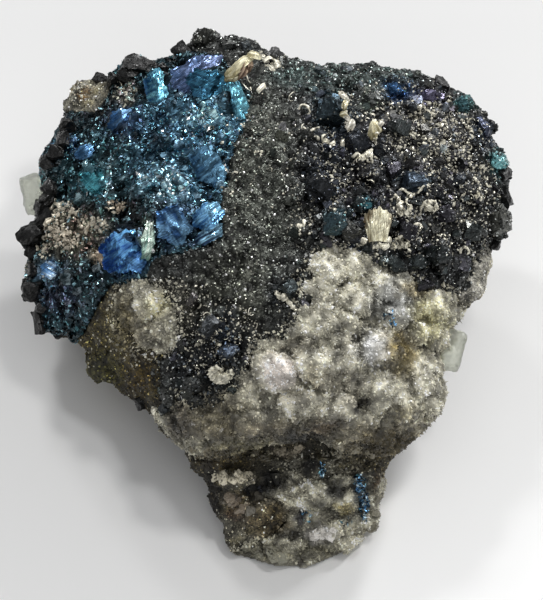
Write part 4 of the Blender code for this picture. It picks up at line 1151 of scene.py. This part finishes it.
for first, last, count, width, colour in LUMP_ROWS:
    for px, py in np.linspace(first, last, count) + chance.normal(0.0, ROW_UNEVEN_PX, (count, 2)):
        spot, normal = seat_by_rim(druse_tree, px, py)
        sides = width * chance.uniform(0.8, 1.25, (1, 3)) * LUMP_FORM
        look = leaning(normal[None, :], LUMP_LEAN, chance)
        tint = linear(colour)[None, :] * chance.uniform(0.85, 1.05)
        lumps.append(own_crystal(200 + len(lumps), LUMP_ROUGHNESS, spot, look, sides, tint, chance))
pale_lumps = dress(merged("pale_lumps", lumps), "quartz")

# %% Quartz strewn on the bare rock, along the edges of the druse and on the lumps
# Each: pixel x, y, half width, half height, how many
QUARTZ_ON_ROCK = (
    (256, 550, 26, 12, 200), (262, 542, 18, 6, 60), (338, 452, 14, 12, 90), (290, 449, 12, 5, 60),
    (297, 467, 8, 10, 60), (300, 494, 16, 8, 110), (376, 448, 26, 16, 150), (376, 482, 9, 22, 50),
    (126, 90, 11, 13, 70), (150, 300, 34, 20, 120), (84, 84, 18, 14, 110), (484, 262, 12, 26, 24),
    (128, 300, 14, 8, 50), (235, 475, 20, 5, 90), (26, 266, 6, 12, 50), (238, 501, 12, 9, 50),
    (324, 533, 12, 7, 70), (118, 312, 8, 22, 60), (128, 286, 12, 8, 40), (170, 286, 14, 10, 30),
    (184, 312, 8, 26, 40), (176, 342, 12, 14, 40), (140, 354, 16, 10, 60), (120, 336, 8, 14, 50),
    (200, 451, 20, 7, 70), (250, 455, 28, 6, 70), (300, 458, 24, 8, 60), (350, 464, 24, 9, 70),
    (404, 438, 14, 12, 70), (432, 412, 12, 18, 60), (246, 384, 8, 14, 50), (262, 352, 10, 14, 50),
    (300, 290, 8, 20, 60), (212, 394, 16, 8, 60), (178, 396, 10, 12, 40),
)
OFF_FLOOR_MM = 1.0
chance = np.random.default_rng(55)
front_tree = tree_of(rock, crust, blue_crust, pale_lumps, *quartz_skins)
spots, normals = strewn_in(front_tree, QUARTZ_ON_ROCK, chance)
high = spots[:, 2] > OFF_FLOOR_MM
quartz_crystals("quartz_strewn", spots[high], normals[high], chance)

# %% Grains on the bare rock
ROCK_GRAINS = 48000
ROCK_GRAIN_WIDTHS = (0.18, 0.52)
BACK_SHARE = 0.1
SMOOTH_STRETCH = (484.0, 266.0, 18.0, 40.0)
SMOOTH_BARE = 0.8
PALE_GRAIN = (196, 192, 176)
PALE_SHARE = 0.05
BLACK_SHARE = 0.3
BLACK_LIGHT = 0.08


def mostly_in_front(points, normals):
    """Thick on the front, thin on the back, and few on the pale, smooth stretch of the right rim."""
    in_front = 1.0 - SMOOTH_BARE * soft_ellipse(*seen_at(points), *SMOOTH_STRETCH)
    return (points[:, 2] > 0.8) * np.where(normals @ OUT > -0.1, in_front, BACK_SHARE)


chance = np.random.default_rng(11)
spots, normals = uncovered(front_tree, *places_on(rock, ROCK_GRAINS, chance, mostly_in_front))
widths = random_sizes(len(spots), ROCK_GRAIN_WIDTHS, chance)
tints = rock_colours(spots) * random_light(len(spots), 0.2, 0.9, chance)
sort = chance.random(len(spots))
tints[sort < PALE_SHARE] = linear(PALE_GRAIN)
tints[sort > 1.0 - BLACK_SHARE] *= BLACK_LIGHT
strewn_grains("rock_grains", "rock", spots, normals, widths, tints, chance, lean=0.6)

# %% Fringes where one mineral meets another
FRINGE_MM = 1.1
FRINGE_TRIES = 32000
FRINGE_CLEAR_MM = (0.15, 1.5)
FRINGE_WIDTHS = (0.4, 1.1)


def off_the_floor(points, normals):
    return (points[:, 2] > OFF_FLOOR_MM).astype(float)


def fringe_on(skin, neighbour, chance):
    """Open places on a skin that lie about a millimetre or less from its neighbour."""
    spots, normals = places_on(skin, FRINGE_TRIES, chance, off_the_floor)
    near = np.array([neighbour.find_nearest(Vector(spot), FRINGE_MM)[0] is not None for spot in spots])
    return uncovered(front_tree, spots[near], normals[near], *FRINGE_CLEAR_MM)


chance = np.random.default_rng(59)
quartz_tree = tree_of(*quartz_skins)
fringes = [fringe_on(skin, quartz_tree, chance) for skin in (rock, crust)]
quartz_crystals("quartz_fringe", *[np.vstack(pair) for pair in zip(*fringes)], chance)
spots, normals = fringe_on(rock, crust_tree, chance)
widths = random_sizes(len(spots), FRINGE_WIDTHS, chance)
tints = dark_colours(spots) * random_light(len(spots), -0.5, 0.9, chance)
strewn_grains("dark_fringe", "sulphide", spots, normals, widths, tints, chance, lean=0.8)

# %% Blue sparkles in the foot
BLUE_IN_FOOT = (
    (362, 482, 6, 9, 70), (366, 502, 5, 11, 66), (325, 469, 3, 7, 34), (368, 518, 4, 4, 10),
    (392, 318, 6, 9, 14), (310, 512, 7, 9, 10), (350, 520, 8, 6, 8),
)
SPARKLE_FORM = np.array([1.2, 0.8, 0.2])
SPARKLE_BLUE = (110, 154, 190)
# A painted glint for a fifth of the flakes
SPARKLE_GLINT = (204, 230, 246)
chance = np.random.default_rng(57)
spots, normals = strewn_in(front_tree, BLUE_IN_FOOT, chance)
widths = chance.uniform(0.4, 1.1, (len(spots), 3)) * SPARKLE_FORM
tints = linear(SPARKLE_BLUE) * random_light(len(spots), -0.6, 1.2, chance)
# A fifth of them get a painted glint
tints[chance.random(len(spots)) < 0.2] = linear(SPARKLE_GLINT)
strewn_grains("blue_flakes_foot", "covellite", spots, normals, widths, tints, chance, lean=0.9, lift=0.15)

# %% [markdown]
# ## Clear crystals
# Two glassy blocks stand at the edges, pale green and see-through. Plain transmission and a glass-like bending
# of light do it, with a faint veil inside that makes them milky in places.

# %% The clear crystals
VEIL_COLOURS = ((206, 210, 196), (238, 240, 228))
VEIL_SCALE = 420.0
VEIL_GLOSS = (0.15, 0.55)
CLEAR_RELIEF = ((0.35, swells, 2.6, 3, 61.0), (-0.2, heads, 1.6, 63.0))


def clear_finish():
    """A clear crystal, with a faint veil in it."""
    material, shader = new_finish("clear_crystal")
    place = add_node(material, "TexCoord", {}, "Object")
    veil = add_node(material, "TexNoise", {"Vector": place, "Scale": VEIL_SCALE}, "Fac")
    milky = add_node(material, "ValToRGB", {"Fac": veil}, "Color")
    for stop, colour in zip(milky.node.color_ramp.elements, VEIL_COLOURS):
        stop.color = (*linear(colour), 1.0)
    set_inputs(material, shader, {
        "Transmission Weight": 0.8, "IOR": 1.5, "Base Color": milky,
        "Roughness": spread_out(material, veil, *VEIL_GLOSS),
    })
    return material


FINISHES["clear"] = clear_finish()
for side in ("left", "right"):
    crystal = fine_skin("clear_crystal_" + side, "glassy_block_" + side, voxel=0.3)
    let_out(crystal, relief(points_of(crystal), 0.05, CLEAR_RELIEF))
    dress(crystal, "clear", "clear_crystal_" + side)

# %% [markdown]
# ## Native silver
# Silver grows as wires and ribbons that curl, with fine stripes along them. Each curl of the frame is smoothed
# by subdivision and crumpled a little. The fan is a ribbed shell, and the ribbon, the roll and the chain are
# folded from striped sheets, like the covellite's. Between them lie nuggets, hooks and rings that are too
# small for solids.

# %% The fan
# Each: a shaded and a lit colour, which the silver sheets mix as painted light
CREAM = ((166, 156, 118), (255, 250, 220))
ROSY = ((96, 74, 60), (206, 182, 156))
WHITE = ((170, 164, 150), (255, 252, 240))
FAN_FOOT_PX = (379.5, 240.5)
FAN_OUT = 45.3
FAN_HEIGHT = 5.4
FAN_FOOT_WIDTH = 2.9
FAN_TOP_WIDTH = 5.7
FAN_RIBS = 8
FAN_BULGE = 1.3
FAN_THICKNESS = 0.3
# A shaded and a lit colour, for the fan's painted light
FAN_SHADED_AND_LIT = ((120, 104, 78), CREAM[1])


def silver_fan():
    """The biggest piece: a bulging, crumpled fan with fine ribs that spread from its foot, with painted light
    and shade.
    """
    spread = (FAN_TOP_WIDTH - FAN_FOOT_WIDTH) / FAN_HEIGHT
    below = FAN_FOOT_WIDTH / spread
    bm = bmesh.new()
    bmesh.ops.create_grid(bm, x_segments=64, y_segments=22, size=0.5)
    lit_shares = []
    for vert in bm.verts:
        aside, up = vert.co.x, vert.co.y + 0.5
        ragged_end = 1.0 + 0.22 * noise.noise(Vector((8.0 * aside, 0.0, 3.0))) - 0.34 * (2.0 * aside) ** 4
        crumple = noise.noise(Vector((3.4 * aside, 3.0 * up, 5.0)))
        away = below + FAN_HEIGHT * up * ragged_end
        angle = spread * aside
        warp = 7.0 * noise.noise(Vector((3.0 * aside, 3.0 * up, 0.0)))
        rib = 0.6 * math.cos(2.0 * math.pi * FAN_RIBS * aside + warp)
        rib += 1.4 * noise.noise(Vector((26.0 * aside, 3.0 * up, 9.0)))
        # Painted light: lighter on the ribs and the raised crumples, and painted shade towards the top, most at
        # the left
        lit_shares.append(0.8 + 0.35 * rib + 0.8 * crumple - 0.5 * up * (0.6 - aside))
        bulge = FAN_BULGE * math.cos(0.9 * math.pi * aside) * (0.6 + 0.4 * math.sin(math.pi * up))
        rise = bulge + 1.0 * crumple + 0.12 * rib * (0.4 + 0.6 * up)
        vert.co = (away * math.sin(angle), away * math.cos(angle) - below, rise)
    foot = plane_point(*FAN_FOOT_PX, FAN_OUT)
    axes = (ACROSS, UP, OUT)
    fan = thin_shell("silver_fan_ribbed", bm, FAN_THICKNESS, foot, axes, lit_shares, linear(FAN_SHADED_AND_LIT))
    dress(fan, "silver", "silver_fan")


silver_fan()

# %% The curls
SILVER_TINT = (255, 250, 230)
SMOOTH_SILVER = (
    "silver_s_wire", "silver_wire_top", "silver_ring_top", "silver_ring_edge", "silver_curl_right",
    "silver_loop_middle", "silver_loop_right",
)
SMOOTH_CREASE = 0.05
RAGGED_CREASE = 0.18
# Each sheet: pixel of the middle, length and width in millimetres, turn, the way it faces, bend, and a shaded
# and a lit colour for painted light
FOLDED_SILVER = {
    "silver_ribbon": (
        (239, 64.5, 6.8, 1.9, 42, (-0.25, 0.25, 0.93), 80, CREAM),
        (234, 76, 2.9, 1.3, 12, (-0.2, -0.3, 0.93), 80, CREAM),
        (247, 69, 3.8, 1.3, 62, (0.4, -0.1, 0.9), 80, ROSY),
        (257, 53, 2.6, 1.3, -24, (0.1, 0.35, 0.93), 90, CREAM),
        (253, 64, 2.4, 0.9, 84, (0.5, 0.0, 0.87), 80, ROSY),
    ),
    "silver_roll": (
        (374.5, 128, 3.6, 1.3, 78, (-0.35, 0.1, 0.93), 90, CREAM),
        (380.5, 126, 2.7, 1.2, 112, (0.4, 0.1, 0.9), 110, CREAM),
        (377, 136, 1.8, 1.1, 60, (0.0, -0.3, 0.95), 90, CREAM),
        (384, 122, 1.4, 0.9, 40, (0.4, 0.2, 0.9), 110, WHITE),
    ),
    "silver_chain": (
        (346, 95, 2.3, 1.0, -46, (0.2, 0.2, 0.96), 60, WHITE),
        (347, 104, 1.7, 1.0, 78, (-0.3, 0.1, 0.95), 90, CREAM),
        (346, 113, 1.6, 1.1, 20, (0.1, -0.1, 0.98), 110, CREAM),
        (353, 124, 2.0, 1.6, 64, (0.1, 0.0, 1.0), 20, WHITE),
        (350, 117, 1.3, 0.8, -30, (0.3, 0.1, 0.95), 90, WHITE),
    ),
}
FOLDED_LIFT = 0.6
SILVER_NODES = sorted(
    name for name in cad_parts
    if name.startswith("silver_") and name != "silver_fan" and name not in FOLDED_SILVER
)


def silver_curl(node):
    """A rounded, crumpled copy of one curl, with painted light on its crests and painted shade in its creases.
    """
    curl = welded(node, node + "_wire")
    shaped_by(curl, "SUBSURF", levels=2, render_levels=2)
    crease = SMOOTH_CREASE if node in SMOOTH_SILVER else RAGGED_CREASE
    let_out(curl, relief(points_of(curl), 0.02, ((crease, crests, 0.7, 71.0),)))
    shaped_by(curl, "DECIMATE", ratio=0.6)
    # Painted light on the crests of the crumples, and painted shade in the creases
    light = np.clip(0.7 + 0.6 * crests(points_of(curl), 0.7, 71.0), 0.1, 1.0)
    set_tint(curl, linear(SILVER_TINT) * light[:, None])
    curl.data.shade_smooth()
    return dress(curl, "silver", node)


def folded_silver(node, sheets):
    """A few striped sheets that lie where a ribbon, roll or chain of the frame lies."""
    tree = tree_of(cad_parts[node])
    folds = []
    for number, (px, py, *form, colours) in enumerate(sheets):
        spot = seat_by_rim(tree, px, py)[0] + FOLDED_LIFT * OUT
        folds.append(bent_sheet(400 + 7 * number, spot, *form, linear(colours), SHEET_CUTS))
    return dress(merged(node + "_folded", folds), "silver", node)


silver_curls = [silver_curl(node) for node in SILVER_NODES]
silver_curls += [folded_silver(node, sheets) for node, sheets in FOLDED_SILVER.items()]

# %% Nuggets and small curls of silver
# Each: pixel x, y, half width, half height, how many
SILVER_STRETCHES = (
    (335, 178, 8, 30, 110), (348, 112, 8, 24, 40), (430, 128, 42, 32, 860), (455, 165, 40, 46, 480),
    (405, 208, 14, 16, 110), (404, 243, 12, 12, 70), (327, 138, 10, 12, 50), (350, 180, 60, 50, 300),
    (62, 209, 18, 9, 150), (56, 226, 14, 9, 100), (96, 224, 15, 8, 100), (72, 240, 15, 8, 100),
    (104, 256, 8, 7, 90), (120, 205, 10, 6, 40), (46, 246, 8, 12, 60), (215, 335, 44, 36, 380),
    (275, 58, 14, 10, 60), (440, 235, 44, 30, 260), (302, 225, 12, 26, 60), (157, 411, 5, 5, 24),
    (287, 298, 12, 12, 14), (480, 200, 22, 40, 240), (180, 290, 50, 10, 60), (378, 244, 12, 6, 40),
    (390, 100, 40, 24, 120), (366, 158, 8, 8, 24), (222, 373, 8, 6, 70), (260, 150, 60, 70, 120),
)
SILVER_PATCHES = (
    (70, 230, 40, 30, (234, 222, 202), 0.85), (104, 256, 14, 12, (226, 206, 182), 0.9),
    (120, 205, 16, 10, (196, 178, 156), 0.9),
)
# The mat of silver at the left is coarser
MAT_RIGHT_PX = 130.0
MAT_TOP_PX = 195.0
MAT_LOW_PX = 270.0
MAT_COARSER = 1.7
# Each: pixel of the middle, width, depth and height in millimetres, turn, and which curl
LARGER_CURLS = (
    (250, 78, 2.0, 2.6, 1.2, 100, 0), (248, 86, 2.6, 1.8, 1.2, 120, 0), (270, 58, 2.4, 2.0, 1.8, 20, 2),
    (262, 86, 2.8, 2.4, 1.4, 20, 2), (326, 137, 1.6, 1.6, 1.4, 60, 1), (334, 142, 1.6, 1.6, 1.4, 10, 2),
    (402, 203, 1.8, 1.8, 1.4, 20, 1), (410, 209, 1.8, 2.0, 1.4, 70, 0), (431, 206, 2.0, 2.0, 1.4, 120, 2),
    (404, 243, 1.8, 1.8, 1.4, 45, 1), (222, 366, 1.8, 1.8, 1.4, 140, 1), (157, 411, 1.6, 1.6, 1.4, 60, 1),
    (293, 93, 2.0, 2.2, 1.0, 30, 0), (388, 246, 2.2, 2.0, 1.4, 190, 2), (386, 260, 1.8, 1.8, 1.2, 50, 0),
    (252, 310, 1.6, 1.8, 1.0, 60, 0), (306, 128, 2.2, 2.6, 0.8, 90, 0), (418, 122, 1.8, 1.8, 1.0, 60, 0),
    (446, 120, 1.6, 1.6, 1.0, 20, 0), (470, 170, 1.6, 1.8, 1.0, 50, 0), (437, 112, 1.4, 1.4, 1.0, 150, 2),
    (306, 222, 1.4, 1.4, 1.0, 70, 2),
)
# Each: pixel of the middle, length and width in millimetres, turn, the way it faces, and bend
SILVER_FLAKES = (
    (354, 160, 2.0, 1.2, -34, (0.2, 0.3, 0.9), 60), (371, 156, 3.0, 1.2, 80, (-0.2, 0.1, 0.9), 60),
    (391, 241, 1.8, 0.8, 76, (0.3, 0.1, 0.9), 40), (221, 378, 2.6, 1.6, -20, (-0.2, 0.2, 0.9), 90),
    (229, 376, 1.8, 1.2, 40, (0.3, 0.1, 0.9), 70), (266, 56, 2.4, 1.2, -40, (0.0, 0.3, 0.9), 60),
    (274, 66, 2.0, 1.0, -50, (0.0, 0.3, 0.9), 40), (345, 144, 2.2, 0.8, 80, (-0.3, 0.1, 0.9), 20),
    (280, 62, 1.8, 1.2, 30, (0.2, 0.2, 0.9), 90), (287, 296, 1.6, 1.2, 40, (0.2, 0.2, 0.9), 90),
    (374, 245, 1.6, 1.2, 20, (0.0, 0.2, 0.95), 110), (380, 245, 1.4, 1.2, -30, (0.2, 0.1, 0.95), 110),
    (384, 245, 2.4, 0.7, 10, (0.1, 0.1, 0.98), 60), (366, 240, 1.4, 1.1, 60, (0.0, 0.2, 0.95), 110),
    (402, 206, 1.4, 1.0, 40, (0.1, 0.2, 0.9), 110), (409, 212, 1.2, 0.9, -40, (0.2, 0.1, 0.9), 110),
    (405, 241, 1.6, 1.1, 20, (0.0, 0.1, 0.95), 110), (431, 207, 2.2, 1.0, -20, (0.1, 0.1, 0.95), 110),
    (157, 410, 1.6, 1.4, 30, (-0.2, 0.1, 0.95), 110), (420, 124, 1.3, 0.9, 50, (0.1, 0.2, 0.95), 100),
    (446, 140, 1.2, 0.9, -30, (0.1, 0.2, 0.95), 100), (328, 140, 1.6, 1.0, -20, (0.1, 0.2, 0.95), 100),
    (302, 226, 1.3, 1.0, 80, (0.1, 0.2, 0.95), 100),
)
SILVER_LIFT = 0.7
FLAKE_LIFT = 0.35
GRAIN_SHARE = 0.8
NUGGET_SHARE = 0.1
# A shaded and a lit copy of the silver, for the flakes' painted light
FLAKE_SHADED_AND_LIT = np.array([0.35, 1.0])[:, None] * linear(SILVER_TINT)
silver_tree = tree_of(rock, crust, blue_crust, pale_lumps, *quartz_skins, *silver_curls)
chance = np.random.default_rng(81)
spots, normals = strewn_in(silver_tree, SILVER_STRETCHES, chance)
tints = painted(spots, SILVER_TINT, SILVER_PATCHES) * chance.uniform(0.4, 1.0, (len(spots), 1))
widths = mostly_small(len(spots), 0.14, 0.42, 3, chance) * chance.uniform(0.7, 1.5, (len(spots), 3))
px, py = seen_at(spots)
widths[(px < MAT_RIGHT_PX) & (py > MAT_TOP_PX) & (py < MAT_LOW_PX)] *= MAT_COARSER
sort = chance.random(len(spots))
curled = sort >= GRAIN_SHARE + NUGGET_SHARE
crumbs = []
for shape, some in ((GRAIN, sort < GRAIN_SHARE), (NUGGET, (sort >= GRAIN_SHARE) & ~curled)):
    looks = leaning(normals[some], 0.9, chance)
    places = spots[some] + 0.1 * normals[some]
    crumbs.append(joined_copies("crumbs", shape, places, looks, widths[some], tints[some], chance))
for number, shape in enumerate(CURLS):
    some = np.flatnonzero(curled)[number::len(CURLS)]
    looks = leaning(normals[some], 0.7, chance)
    sizes = random_sizes(len(some), (0.5, 1.4), chance, (0.8, 1.2))
    places = spots[some] + 0.25 * normals[some]
    crumbs.append(joined_copies("curls", shape, places, looks, sizes, tints[some], chance))
for px, py, *size, turn, kind in LARGER_CURLS:
    spot = seat_by_rim(front_tree, px, py)[0] + SILVER_LIFT * OUT
    look = leaning(OUT[None, :], 0.25, chance)
    crumbs.append(joined_copies(
        "curl", LARGE_CURLS[kind], spot[None, :], look, np.array([size]), linear(SILVER_TINT)[None, :], chance,
        way_at(turn)[None, :],
    ))
for number, (px, py, *form) in enumerate(SILVER_FLAKES):
    spot = seat_by_rim(silver_tree, px, py)[0] + FLAKE_LIFT * OUT
    crumbs.append(bent_sheet(300 + number, spot, *form, FLAKE_SHADED_AND_LIT, LEAF_CUTS))
dress(merged("silver_crumbs", crumbs), "silver")

# %% [markdown]
# ## The camera, the floor and the light
# The camera stands 2 m off with a long lens, so that near and far parts of the specimen have the same scale as
# in the drawing plane. The floor is pale paper with painted light, a little brighter at the front. Five small
# lamps, most of them behind, make the stepped shadow at the lower left and the sparkle. A soft, wide lamp beside
# the camera gives the plates something to mirror, and a pale room fills in the rest.

# %% Camera
PHOTO_SIZE_PX = (543.0, 600.0)
CAMERA_AWAY_MM = 2000.0
FACE_OUT_MM = 34.0
SENSOR_MM = 36.0
AIM_PX = (274.0, 299.0)

aim = plane_point(*AIM_PX, FACE_OUT_MM)
camera_data = bpy.data.cameras.new("camera")
camera_data.sensor_width = SENSOR_MM
camera_data.lens = SENSOR_MM * CAMERA_AWAY_MM * PX_PER_MM / PHOTO_SIZE_PX[1]
camera_data.clip_end = 20.0
camera = linked("camera", camera_data)
camera.location = Vector((aim + CAMERA_AWAY_MM * OUT) * MM)
camera.rotation_euler = (math.radians(90.0 - LOOK_DOWN_DEG), 0.0, 0.0)
bpy.context.scene.camera = camera

# %% Floor
FLOOR_HALF = 2.5
PAPER_ROUGHNESS = 0.7
# From the front to the back, in metres, the paper's light goes from the first shade to the second
PAPER_REACH = (-0.05, 0.07)
PAPER_SHADES = (0.915, 0.69)
bm = bmesh.new()
bmesh.ops.create_grid(bm, x_segments=1, y_segments=1, size=FLOOR_HALF)
floor = object_from(bm, "floor")
paper, paper_shader = new_finish("pale_paper")
back_to_front = add_node(paper, "SeparateXYZ", {"Vector": add_node(paper, "TexCoord", {}, "Object")}, "Y")
shade = spread_out(paper, back_to_front, *PAPER_SHADES, PAPER_REACH)
set_inputs(paper, paper_shader, {"Roughness": PAPER_ROUGHNESS, "Base Color": shade})
floor.data.materials.append(paper)

# %% Light
LAMP_HEIGHT = 0.63
PLAIN_WHITE = (1.0, 1.0, 1.0)
# Each: name, place across and back in metres, size in metres, power in watts, colour
LAMPS = (
    ("lamp_right", 0.20, 0.0, 0.08, 0.8, (1.0, 0.99, 0.97)),
    ("lamp_left_behind", -0.25, 0.35, 0.08, 1.0, PLAIN_WHITE),
    ("lamp_right_behind", 0.60, 0.50, 0.10, 2.6, PLAIN_WHITE),
    ("lamp_far_behind", 0.50, 0.80, 0.10, 4.8, PLAIN_WHITE),
    ("lamp_middle_behind", -0.20, 0.70, 0.10, 1.0, PLAIN_WHITE),
    ("soft_front", 0.0, -0.40, 0.60, 1.0, PLAIN_WHITE),
)
WORLD_LIGHT = 0.28
WORLD_COLOUR = (0.98, 0.99, 1.0, 1.0)
for name, across, back, size, power, colour in LAMPS:
    lamp_data = bpy.data.lights.new(name, "AREA")
    lamp_data.shape = "SQUARE"
    lamp_data.size = size
    lamp_data.energy = power
    lamp_data.color = colour
    lamp = linked(name, lamp_data)
    lamp.location = (across, back, LAMP_HEIGHT)
    lamp.rotation_euler = Vector((across, back, LAMP_HEIGHT)).to_track_quat("Z", "Y").to_euler()
    lamp.visible_camera = False

world = bpy.data.worlds.new("pale_room")
world.use_nodes = True
background = world.node_tree.nodes["Background"]
background.inputs["Color"].default_value = WORLD_COLOUR
background.inputs["Strength"].default_value = WORLD_LIGHT
bpy.context.scene.world = world
bpy.context.scene.view_settings.view_transform = "Standard"
